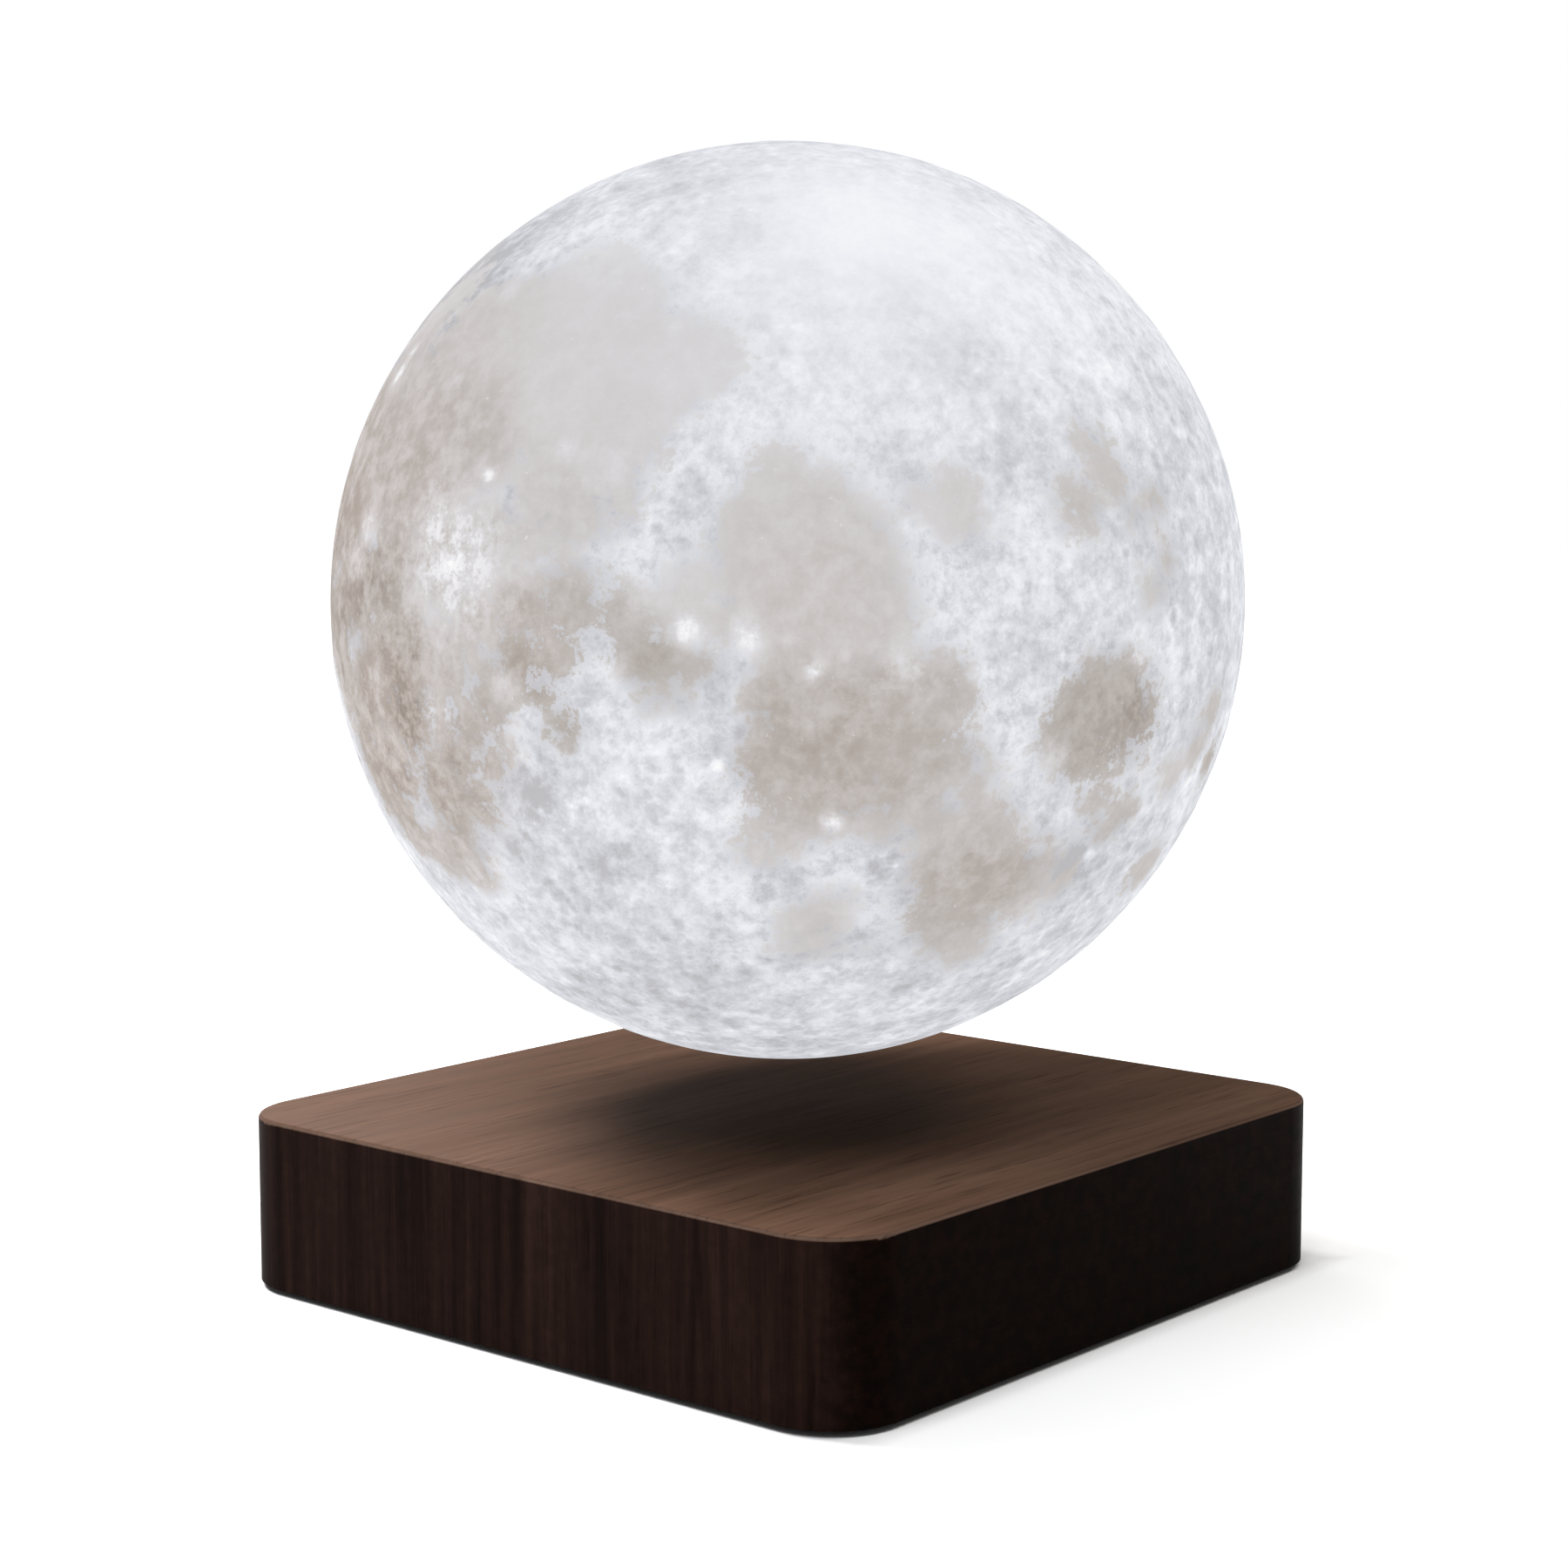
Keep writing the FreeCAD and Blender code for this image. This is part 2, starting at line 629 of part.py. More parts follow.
def magnet_cup():
    """Cup that closes the globe's opening flush and holds magnet, coil and boards."""
    low = pole - CUT_SPARE
    outside = ball(moon_radius, BACK)
    dish = outside.common(disc(opening_radius - FLANGE_CLEARANCE, low, flange_top - low))
    middle_radius = pocket_radius - SEAT_WIDTH
    middle_floor = sphere_height(middle_radius, moon_radius) + CUP_WALL
    scoops = [
        disc(middle_radius, middle_floor, flange_top - middle_floor),
        disc(pocket_radius, magnet_seat, flange_top - magnet_seat),
        disc(neck_inner, receiver_seat, flange_top - receiver_seat),
    ]
    pocket = ring(pocket_outer, pocket_radius, receiver_seat - CUP_WALL / 2, POCKET_HEIGHT)
    neck_bottom = flange_top - FLANGE_THICKNESS / 2
    neck = ring(neck_outer, neck_inner, neck_bottom, carrier_bottom - neck_bottom)
    parts = [dish.cut(scoops), pocket, neck]
    boss_bottom = receiver_seat - CUP_WALL / 2
    pilot_depth = CUP_SCREW_BITE + PILOT_SPARE
    cuts = []
    for x, y in cup_screw_places():
        parts.append(disc(BOSS_RADIUS, boss_bottom, carrier_bottom - boss_bottom, x, y))
        pilot_radius = CUP_SCREW_DIAMETER / 2 + PILOT_CLEARANCE
        cuts.append(disc(pilot_radius, carrier_bottom - pilot_depth, pilot_depth, x, y))
    slot_bottom = flange_top + HOOK_FOOT
    slot_angle = HOOK_ANGLE + 2 * HOOK_SLOT_ANGLE
    gap_height = carrier_bottom - slot_bottom
    gap = sector(neck_inner - CUT_SPARE, neck_outer + CUT_SPARE, slot_bottom, gap_height, slot_angle)
    cuts += [turned(gap, angle) for angle in HOOK_ANGLES]
    legs = [turned(hook_leg(), angle) for angle in HOOK_ANGLES]
    return fused([fused(parts).cut(cuts)] + legs)


def levitation_magnet():
    return disc(magnet_radius, magnet_bottom, MAGNET_THICKNESS)


def receiver_coil():
    return ring(receiver_outer, receiver_inner, receiver_seat, RECEIVER_COIL_HEIGHT)


def receiver_bars(width, bottom, height):
    """Two square bars over the receiving coil, halfway between a snap leg and a boss."""
    bar = block(width, width, height, receiver_lead_at, 0, bottom)
    middle = BOSS_ANGLES[0] / 2
    return [turned(bar, middle + side) for side in (-RECEIVER_LEAD_SPREAD, RECEIVER_LEAD_SPREAD)]


def receiver_leads():
    """Wires from the coil up through the carrier to the light board."""
    bars = receiver_bars(RECEIVER_LEAD_WIDTH, receiver_top, light_board_bottom - receiver_top)
    return Part.makeCompound(bars)


def board_carrier():
    """Ring over the magnet, notched for the snap legs, with three pillars for the light board."""
    parts = [ring(neck_outer, CARRIER_HOLE / 2, carrier_bottom, CARRIER_THICKNESS)]
    notch_inner = neck_inner - CARRIER_NOTCH_DEPTH
    notch_outer = neck_outer + CUT_SPARE
    notch = sector(notch_inner, notch_outer, carrier_bottom, CARRIER_THICKNESS, CARRIER_NOTCH_ANGLE)
    cuts = [turned(notch, angle) for angle in HOOK_ANGLES]
    cuts += receiver_bars(RECEIVER_LEAD_SLOT, carrier_bottom, CARRIER_THICKNESS)
    height = light_board_bottom - carrier_bottom
    for x, y in cup_screw_places():
        parts.append(disc(BOSS_RADIUS, carrier_bottom, height, x, y))
        cuts.append(disc(CUP_SCREW_HOLE / 2, carrier_bottom, height, x, y))
    return fused(parts).cut(cuts)


def cup_screws():
    """Three screws through light board and carrier into the cup's bosses."""
    length = light_board_top - carrier_bottom + CUP_SCREW_BITE
    screws = []
    for x, y in cup_screw_places():
        shank = disc(CUP_SCREW_DIAMETER / 2, light_board_top - length, length, x, y)
        head = disc(CUP_SCREW_HEAD / 2, light_board_top, CUP_SCREW_HEAD_HEIGHT, x, y)
        screws.append(shank.fuse(head))
    return Part.makeCompound(screws)


def led_board():
    radius = CUP_SCREW_HOLE / 2
    holes = [disc(radius, light_board_bottom, LIGHT_BOARD_THICKNESS, x, y) for x, y in cup_screw_places()]
    return disc(neck_outer, light_board_bottom, LIGHT_BOARD_THICKNESS).cut(holes)


def led_chips():
    """One lamp in the middle and a ring round it."""
    chips = [block(LIGHT_LENGTH, LIGHT_WIDTH, LIGHT_HEIGHT, 0, 0, light_board_top)]
    for index in range(LIGHT_COUNT):
        chip = block(LIGHT_LENGTH, LIGHT_WIDTH, LIGHT_HEIGHT, LIGHT_RING, 0, light_board_top)
        chips.append(turned(chip, 360.0 * index / LIGHT_COUNT))
    return Part.makeCompound(chips)


def rectifier_parts():
    """Rectifier, regulator and choke under the light board."""
    bottom = light_board_bottom - RECTIFIER_HEIGHT
    part = block(RECTIFIER_LENGTH, RECTIFIER_WIDTH, RECTIFIER_HEIGHT, RECTIFIER_AT, 0, bottom)
    return Part.makeCompound([turned(part, angle) for angle in HOOK_ANGLES])


PIECES = [
    base_housing,
    bottom_cover,
    rubber_feet,
    cover_screws,
    control_board,
    board_screws,
    driver_chips,
    capacitors,
    dc_jack,
    jack_pin,
    touch_pad,
    touch_lead,
    module_frame,
    ring_magnet,
    coil_bobbins,
    coil_windings,
    coil_leads,
    coil_cores,
    transmitter_coil,
    transmitter_lead,
    hall_sensors,
    moon_shell,
    magnet_cup,
    levitation_magnet,
    receiver_coil,
    receiver_leads,
    board_carrier,
    led_board,
    cup_screws,
    led_chips,
    rectifier_parts,
]

for piece in PIECES:
    piece().exportStep("parts/" + piece.__name__ + ".step")
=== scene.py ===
"""Levitating moon lamp, dressed: a printed Moon globe that floats over a square walnut base.

Every piece of the frame gets a procedural material. The globe, the feet and the screws get
finer meshes. Lengths are in metres, angles in degrees.
"""

import json
import math

import bmesh
import bpy
import numpy as np
from mathutils import Matrix, Vector


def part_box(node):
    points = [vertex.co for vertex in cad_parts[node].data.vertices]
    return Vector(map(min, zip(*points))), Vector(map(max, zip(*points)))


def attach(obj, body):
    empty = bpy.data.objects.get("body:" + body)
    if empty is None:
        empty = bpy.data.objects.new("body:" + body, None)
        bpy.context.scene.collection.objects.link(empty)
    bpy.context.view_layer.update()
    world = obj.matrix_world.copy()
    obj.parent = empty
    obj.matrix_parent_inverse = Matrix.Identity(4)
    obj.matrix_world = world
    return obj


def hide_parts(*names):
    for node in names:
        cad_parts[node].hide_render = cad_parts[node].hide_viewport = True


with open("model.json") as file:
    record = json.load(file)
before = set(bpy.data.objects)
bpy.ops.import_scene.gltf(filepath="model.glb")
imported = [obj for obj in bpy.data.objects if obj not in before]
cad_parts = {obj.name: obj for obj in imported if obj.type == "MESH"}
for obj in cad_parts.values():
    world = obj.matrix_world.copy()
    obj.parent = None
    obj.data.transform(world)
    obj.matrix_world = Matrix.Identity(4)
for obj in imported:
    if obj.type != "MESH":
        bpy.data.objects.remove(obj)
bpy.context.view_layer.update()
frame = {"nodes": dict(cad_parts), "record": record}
nodes = frame["nodes"]

MM = 0.001

# ---- sizes read from the frame
shell_low, shell_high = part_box("moon_shell")
moon_radius = (shell_high.x - shell_low.x) / 2
moon_centre = Vector((0, 0, shell_high.z - moon_radius))
housing_low, housing_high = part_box("base_housing")
base_side = housing_high.x - housing_low.x
base_top = housing_high.z

# ---- camera: place and angles as in the photograph, from the square top of the base
CAMERA_AZIMUTH = 40.207
CAMERA_ELEVATION = 12.452
CAMERA_DISTANCE = 3.951  # in base sides
CAMERA_YAW = 40.27
CAMERA_PITCH = 6.552
CAMERA_LENS = 70.69  # mm, on the sensor below
SENSOR_WIDTH = 36
CLIP_START = 0.01

# ---- which way the Moon faces
FACE_LATITUDE = 21.1  # of the point that faces the camera
FACE_LONGITUDE = 19.8
FACE_TILT = 17.1  # of the north pole, to the right of straight up

# ---- meshes of the globe
GLOBE_SEGMENTS = 640
GLOBE_ROWS = 300
INNER_ROWS = 24
GLOBE_WALL = 1.8 * MM
SHARP_ANGLE = 50  # from which an edge stays sharp

# ---- the shell's opening round the cup, as in the frame
CUP_CLEARANCE = 0.2 * MM
FLANGE_THICKNESS = 2.0 * MM
FLANGE_LEDGE = 2.0 * MM
COLLAR_WALL = 2.6 * MM
COLLAR_HEIGHT = 5.0 * MM

# ---- the printed relief, whose heights are shares of its depth
RELIEF_DEPTH = 0.55 * MM
RIM_FADE = 3.0  # degrees from the opening to the full relief
HIGHEST_PERCENT = 99.7  # of the points lie below the sphere
LAND_LEVEL = 0.30  # of the highlands above the seas
SEA_CALM = 0.75  # share of the relief and of the crater tones that a sea loses
CALM_BAND = (-1.0, 2.0)  # degrees inside a sea's edge where the relief fades
TONE_BAND = (-1.5, 1.5)  # the same for the tones
ROLLING = 0.10
ROLLING_WAVES = (9.0, 4)  # frequency and octaves

# ---- craters: sizes are radii in degrees
SEED = 11
TONE_SEED = SEED + 5
ROLLING_SEED = SEED + 1
WANDER_SEED = SEED + 20
RELIEF_CRATERS = (900, 0.9, 6.5)  # how many, smallest, largest
TONE_CRATERS = (5200, 0.7, 4.0)
TONE_AMOUNT = (0.25, 0.8)  # least and most
YOUNG_CRATERS = (420, 0.5, 2.2)
YOUNG_AMOUNT = (0.5, 1.4)
CRATER_POWER = 2.1  # by which small ones are more frequent
CRATER_DEPTH = 0.30  # of the large ones
FULL_DEPTH_RADIUS = 2.2  # smaller ones are less deep
DEPTH_POWER = 0.7
FAR_SIDE_CRATERS = 1.3  # how much the tones grow on the far side
FAR_SIDE_BAND = (0.0, 0.5)  # globe radii beyond the limb where they grow
STAMP_REACH = 1.9  # in radii
RIM_HEIGHT = 0.35  # of a crater, as a share of its depth
BOWL_WALL = (0.35, 0.98)  # where the wall starts and ends, in radii
APRON_WIDTH = 0.32  # outside the rim, in radii
RIM_TONE = (0.7, 0.34)  # how white, and how wide in radii
FLOOR_TONE = 0.6  # how grey
FLOOR_EDGE = (0.3, 0.9)
HALO_CORE = (1.0, 0.5)  # how bright, and how wide in radii
HALO_GLOW = (0.35, 1.3)

# ---- how round patches become seas
WANDER = 2.4  # degrees by which the outlines wander, about
WANDER_WAVES = (11.0, 4)  # frequency and octaves
WAVES_PER_OCTAVE = 10
OCTAVE_SIZE = 0.6  # of each octave, as a share of the one before
OCTAVE_FREQUENCY = 1.9
SEA_JOIN = 2.0  # degrees over which patches of a sea run together
SHADE_JOIN = 2.0  # degrees deeper inside a patch that settle the shade
SHADE_LIMITS = (-40, 12)  # degrees inside, beyond which its say stays the same
NO_SEA = -90.0  # degrees inside, where there is none
FAR_FROM_SEA = 20.0  # added to the degrees inside, so that 0 is far outside


def linear(red, green, blue):
    """Linear colour of an 8-bit one."""
    out = []
    for value in (red, green, blue):
        share = value / 255
        if share <= 0.04045:
            out.append(share / 12.92)
        else:
            out.append(((share + 0.055) / 1.055) ** 2.4)
    return (*out, 1.0)


# ---- the globe's print; a span says low, high, and what they become if not 0 and 1
WHITE_SPECK = linear(255, 255, 255)
LAND_RAMP = [
    (0.0, WHITE_SPECK),
    (0.22, linear(240, 242, 247)),
    (0.62, linear(214, 216, 222)),
    (1.0, linear(190, 190, 194)),
]
SEA_RAMP = [
    (0.0, linear(228, 228, 232)),
    (0.4, linear(211, 208, 208)),
    (0.8, linear(181, 174, 168)),
    (1.0, linear(156, 148, 142)),
]
WARM_TINT = (0.95, 0.885, 0.85, 1.0)
WARM_SEA = 0.9  # how much of the tint a warm sea takes
WARM_LAND = 0.5
BROAD_NOISE = (3.2, 4.0, 0.55, 0.4)  # scale in globe radii, detail, roughness, distortion
COARSE_NOISE = (7.0, 6.0, 0.62, 0.3)
MEDIUM_NOISE = (22.0, 6.0, 0.7, 0.0)
FINE_NOISE = (55.0, 5.0, 0.8, 0.4)
COARSE_RAG = 9.0  # degrees that the noise moves a sea's edge
MEDIUM_RAG = 14.0
FINE_RAG = 7.0
EDGE_SOFTNESS = (0.4, 0.6, 0.8, 2.0)  # of the broad noise, to degrees
BROKEN_MIX = (0.55, 0.45)  # of medium and fine noise
BROKEN_LIGHT = (0.40, 0.58, 0.25, 1.15)
CLOUD_MIX = (0.6, 0.4)  # of medium and coarse noise
CLOUD_RANGE = (0.46, 0.6)
CLOUD_LIGHT = (0.42, 0.05)  # on warm ground, and everywhere
SEA_MOTTLE = (0.3, 0.7, 1.12, 0.86)
SEA_CRATERS = -0.22
SEA_SPAN = (0.0, 1.25)
RUBBLE = (0.36, 0.64, 0.34, 0.0)
HILLS = (0.36, 0.64, 0.66, 0.0)
PATCHES = (0.38, 0.60, 0.44, 0.0)
LAND_CRATERS = -0.34
CALM_LAND = (0.0, 1.0, 1.0, 0.12)
LAND_SPAN = (-0.2, 1.3)
SPECKS = (0.64, 0.71, 0.0, 0.5)
HALO_SPECKS = (0.7, 1.9)
LAMP_GLOW = 0.75  # the globe's own light
BOTTOM_PAINTED_GLOW = 1.2  # times as strong at the bottom: painted light that lifts the bottom, which the base keeps from the room's light
BOTTOM_BAND = (-0.62, -0.97)  # heights in globe radii where it grows
SURFACE_SHARE = 0.20  # of the colour answers to the room's light
PRINT_LOOK = {"Roughness": 0.62, "Specular_IOR_Level": 0.04}
PRINT_BUMP = (0.15 * MM, 0.5)  # distance and strength
MEDIUM_BUMP = 2.0

# ---- walnut: grain's scale, detail, roughness, and how many times longer than wide
BANDS = (60.0, 3.0, 0.55, 12.0)
STREAKS = (380.0, 4.0, 0.6, 26.0)
PORES = (1500.0, 2.0, 0.5, 20.0)
MOTTLE = (420.0, 3.0, 0.65)
GRAIN_DISTORTION = 0.15
WOOD_RAMP = [
    (0.0, linear(82, 61, 48)),
    (0.5, linear(101, 76, 61)),
    (1.0, linear(120, 92, 76)),
]
WOOD_PORE = linear(50, 32, 24)
SIDE_SPOT = linear(7, 5, 4)
# painted shade: the ±X sides and the ±Y ends are multiplied far darker than the top, the sides
# darkest, standing in for light that falls mostly on the top
SIDE_PAINTED_SHADE = (0.05, 0.036, 0.031, 1.0)
END_PAINTED_SHADE = (0.128, 0.114, 0.135, 1.0)
# painted sheen: the rounded top edge is turned greyer, standing in for the light it catches
EDGE_PAINTED_SHEEN = (0.85, 0.93, 1.05, 1.0)
END_LINE_DARK = (0.52, 0.52, 0.52, 1.0)
END_LINE_LIGHT = (1.15, 1.12, 1.1, 1.0)
END_BAND = (0.45, 0.95)  # part of the normal where the look of the ends sets in
TOP_BAND = (0.75, 0.97)
EDGE_BAND = (0.15, 0.5)
TONE_MIX = (0.55, 0.45)  # of bands and streaks
TONE_SPAN = (0.30, 0.70)
PORE_SPAN = (0.56, 0.70, 0.0, 0.4)
LINE_MIX = (0.75, 0.25)  # of streaks and bands
LINE_SPAN = (0.36, 0.64)
SPOT_SPAN = (0.40, 0.64, 0.85, 0.0)
END_SPOTS = -0.75  # change of the spots on the ends
SATIN = (0.3, 0.7, 0.42, 0.54)
WOOD_SHINE = 0.008
WOOD_BUMP = (0.05 * MM, 0.5)
STREAK_BUMP = 0.6

# ---- inner materials: 8-bit dark and light colour, roughness, and the rest
MIDDLE_BAND = (0.3, 0.7)  # the middle part of a noise's range
SKIN = 0.05 * MM
LENGTHWISE = (1, 1, 12)
CROSSWISE = (12, 12, 1)
PLASTICS = {  # grain's scale and depth
    "black_plastic": ((17, 17, 18), (25, 25, 26), 0.55, 900.0, SKIN),
    "foot_rubber": ((22, 22, 23), (33, 33, 34), 0.8, 500.0, SKIN),
    "chip_resin": ((16, 16, 17), (28, 28, 30), 0.5, 1400.0, SKIN),
    "ferrite": ((38, 38, 40), (56, 56, 58), 0.6, 600.0, 0.08 * MM),
    "white_nylon": ((222, 222, 217), (236, 236, 232), 0.4, 900.0, SKIN),
    "lamp_lens": ((236, 208, 96), (248, 226, 130), 0.25, 900.0, SKIN),
}
METALS = {  # stretch of the brushed lines
    "screw_steel": ((150, 150, 152), (205, 205, 206), 0.32, LENGTHWISE),
    "can_aluminium": ((180, 182, 186), (222, 223, 226), 0.3, LENGTHWISE),
    "plated_pin": ((190, 175, 130), (228, 214, 170), 0.22, LENGTHWISE),
    "soft_iron": ((92, 92, 95), (132, 132, 135), 0.45, CROSSWISE),
    "nickel_magnet": ((178, 176, 170), (220, 218, 212), 0.14, LENGTHWISE),
}
BOARDS = {
    "circuit_board": ((12, 70, 38), (20, 92, 52)),
    "light_circuit_board": ((222, 222, 218), (238, 238, 235)),
}
SKIN_NOISE = (3.0, 0.6)  # detail and roughness
SKIN_SPREAD = 0.06  # of the roughness, both ways
SKIN_STRENGTH = 0.4
CLOUD_NOISE = (45.0, 3.0, 0.5)  # scale, detail, roughness
BRUSHED_NOISE = (700.0, 3.0, 0.6)
BRUSHED_SPREAD = 0.07
BRUSHED_BUMP = (0.02 * MM, 0.3)
COPPER_DARK = linear(120, 52, 24)
COPPER_LIGHT = linear(214, 124, 70)
COPPER_ROUGHNESS = (0.0, 1.0, 0.42, 0.28)
TURNS_SCALE = 700.0
TURNS_DISTORTION = 0.6
TURNS_BUMP = (0.1 * MM, 0.6)
TRACKS_SCALE = 160.0
TRACKS_WIDTH = 0.035
TRACKS_SHARE = 0.35
TRACKS_COLOUR = linear(150, 170, 90)
TRACKS_BUMP = (0.03 * MM, 0.5)
MASK_NOISE = (220.0, 2.0, 0.5)
MASK_ROUGHNESS = (0.3, 0.7, 0.3, 0.42)

# ---- small fittings, finished beyond the frame's plain solids
FEET = 4
FOOT_EDGE = 0.5 * MM
FOOT_DISH = 0.25 * MM
DISH_FLAT = 0.55  # of the foot's radius
DISH_RIM = 0.68
FOOT_SEGMENTS = 64
ROUNDING_STEPS = 5
WELD_DISTANCE = 0.001 * MM
RECESS_SHARE = 0.58  # of a screw head's diameter
RECESS_ARM = 0.32  # half an arm's width, as a share of its length
RECESS_TAPER = 0.45
RECESS_START = -0.2  # above the head's face, as a share of the depth
# node, how many, depth of the recess (below 0 where the head is on top), body
SCREWS = [
    ("cover_screws", 4, 1.1 * MM, "base"),
    ("board_screws", 4, -1.2 * MM, "base"),
    ("cup_screws", 3, -0.8 * MM, "moon"),
]

# ---- stage and light
FLOOR_SIZE = 6.0
FLOOR_LOOK = {"Base_Color": (0.93, 0.93, 0.93, 1), "Roughness": 0.9, "Specular_IOR_Level": 0.1}
FLOOR_GLOW = 0.22  # beside the lamp; below it the floor doesn't glow
FAR_GLOW = 0.85
FAR_BAND = (1.2, 9.0)  # base sides from the middle between which it grows to the far one
FOOTPRINT_BAND = (0.497, 0.53)  # base sides from the middle where it sets in
WHITE = (1, 1, 1, 1)
SKY_STRENGTH = 0.24
BACKDROP_STRENGTH = 1.0
# name, place, what it points at, side, watts, colour
SOFTBOXES = [
    ("softbox_above", (0.0, 0.1, 1.3), (0, 0, 0.05), 0.9, 3.5, (1.0, 0.98, 0.95)),
    ("softbox_left", (-0.70, -0.15, 1.02), (0, 0, 0.05), 0.42, 18.2, (1.0, 0.98, 0.98)),
    ("softbox_front", (0.11, -0.60, 1.15), (0, 0, 0.05), 0.6, 6.0, (0.97, 1.0, 1.05)),
    ("softbox_right", (0.53, 0.53, 1.06), (0, 0, 0.05), 0.5, 4.8, (1.0, 0.97, 0.93)),
    ("softbox_low", (-1.03, 0.59, 0.39), (0, 0, 0.03), 0.5, 2.8, (0.97, 0.98, 1.0)),
]

# ---- the Moon's seas: latitude, longitude, radius in degrees, and how dark
SEAS = [
    # Serenitatis
    (26.5, 21, 10.6, 0.62), (29, 23.4, 7.4, 0.62), (20.5, 25, 7, 0.64), (32.6, 17, 5.2, 0.56),
    (36.2, 14.8, 2.8, 0.52), (27.5, 12.6, 3.8, 0.6), (22.5, 13.6, 3.6, 0.62),
    (18.6, 13, 2.4, 0.6), (18.4, 7.8, 3, 0.55), (22, 7.6, 2.2, 0.4),
    # Tranquillitatis and its bays
    (11.5, 24.5, 7, 0.95), (12.5, 33, 7.2, 0.92), (6, 30, 8, 0.98), (7, 38.5, 6.2, 0.9),
    (4, 23.5, 5, 0.95), (15, 39.5, 3.6, 0.88), (9, 43.5, 2.8, 0.8), (-0.5, 28.5, 3.6, 0.85),
    (-4, 26.4, 2.6, 0.7), (-8, 24.8, 2.4, 0.6), (2, 43.5, 4, 0.7), (6.6, 46.8, 2.2, 0.8),
    (1, 37.6, 2.6, 0.75),
    # Fecunditatis
    (0.5, 50, 4.6, 0.72), (-4.5, 49.5, 6.8, 0.95), (-5.5, 55.5, 5.4, 0.98), (-10.5, 50, 6.4, 0.9),
    (-14.5, 52, 4.6, 0.75), (-17.5, 55, 2.8, 0.6), (-8.5, 60, 3.2, 0.7),
    # Crisium
    (14.2, 61.5, 5.9, 1), (12, 60, 5.2, 1), (14.2, 66.4, 5.3, 1.1), (12.3, 68.6, 4.3, 1.15),
    # Nectaris
    (-15.8, 34.2, 4.3, 0.62), (-19.6, 35.2, 3, 0.55), (-13.6, 37, 1.8, 0.5),
    # Imbrium and the bay of rainbows
    (37, -21, 13.5, 0.42), (41, -10.5, 8.6, 0.35), (43, -5.6, 4.8, 0.33), (30.5, -12, 9.2, 0.5),
    (24, -12.5, 7.5, 0.62), (21.5, -8, 4.2, 0.72), (26, -3.8, 3.2, 0.6), (42, -27, 9, 0.35),
    (45.5, -32, 4.6, 0.28),
    # Vaporum and the bays of the middle
    (11, 6.5, 4.2, 1.08), (12, 11, 2.6, 0.9), (15, 2, 3.2, 0.92), (7.2, 8.8, 1.8, 0.85),
    (13.6, -5, 4.2, 0.92), (4.6, -8.5, 3.6, 1.1), (9.5, -10, 3.6, 1), (7.2, -4.2, 2.8, 0.85),
    (2, -4.6, 2, 1.1), (-0.6, -0.6, 2.2, 1), (3, -15.5, 2.2, 1.05), (1.2, -11.5, 2.2, 0.7),
    # Round the bright crater south of Imbrium
    (14, -19, 6, 0.82), (8, -24, 6.5, 0.95), (17.5, -13.5, 3.4, 0.72),
    # The ocean of storms, north to south
    (34, -35, 8.5, 0.5), (30, -43, 8, 0.56), (24, -30, 9, 0.76), (21, -42, 8.6, 0.7),
    (14, -33, 8, 0.86), (12, -45, 8, 0.78), (13.5, -51, 6, 0.85), (4, -48.5, 7.5, 0.95),
    (22, -58, 7, 0.62), (30, -60, 6, 0.5), (-2, -41, 7.5, 1.1), (3, -32, 6.5, 1.1),
    (6, -16, 4.4, 1), (-1, -18, 4.8, 0.72), (-4.5, -26, 6.8, 1.1), (-11, -23, 5, 1.3),
    (-4.5, -24.5, 2.6, 1.15), (-11, -31, 6.4, 1), (-6.5, -12.5, 3.2, 1), (-2, -10.5, 3.2, 1),
    (-8.8, -8.2, 2.4, 0.9), (-16.5, -34.5, 4.4, 1.25),
    # Nubium, Humorum and the small seas beside them
    (-11.5, -13, 3.4, 1.1), (-15.5, -9.6, 2.8, 1.1), (-17.5, -14.5, 5.6, 1.05),
    (-22, -12, 4, 1.05), (-27, -9.5, 3.4, 1.1), (-17.2, -8, 2.2, 0.9), (-21, -25.5, 5.2, 1.1),
    (-25.5, -12.5, 4.6, 0.95), (-23.5, -34, 5, 1.05), (-9, -45, 6, 1.05), (-16, -43, 5.5, 1.05),
    (-1, -58, 9, 1.1), (10, -60, 7, 1), (-12, -54, 7, 1.1), (-26, -30, 5.2, 1.1),
    (-29, -24, 4.6, 1.05), (-29.5, -17.5, 3.8, 0.9),
    # Small dark floors towards the east limb
    (35, 39, 2.9, 0.62), (37.5, 37.5, 2, 0.5), (36.5, 34, 1.9, 0.4), (45, 62, 2.6, 0.6),
    (41, 64.5, 2.9, 0.75), (37.3, 58.5, 2.7, 0.75), (37.5, 68, 1.7, 0.7), (39, 73, 2, 0.8),
    (31, 75.5, 1.8, 0.8), (28, 72, 2, 0.6), (4, 92, 2.6, 1), (8, 84.5, 3.2, 0.8),
    (5.5, 79.5, 2.4, 0.6), (12, 88, 2.8, 0.8), (1.6, 71, 1.9, 0.9), (0.4, 68.5, 1.4, 0.85),
    (3.2, 65.5, 1.2, 0.8), (-4.2, 65, 1.8, 0.75), (-3.2, 60.8, 1.6, 0.85), (-6.2, 63.5, 1.1, 0.8),
    (-10, 82, 3.4, 0.8),
    # The far side
    (27, 148, 5.5, 0.8), (-19, -95, 6, 0.7), (-33, 163, 4, 0.7), (-21, 129, 3.2, 0.9),
    (-36, -152, 4, 0.6),
]

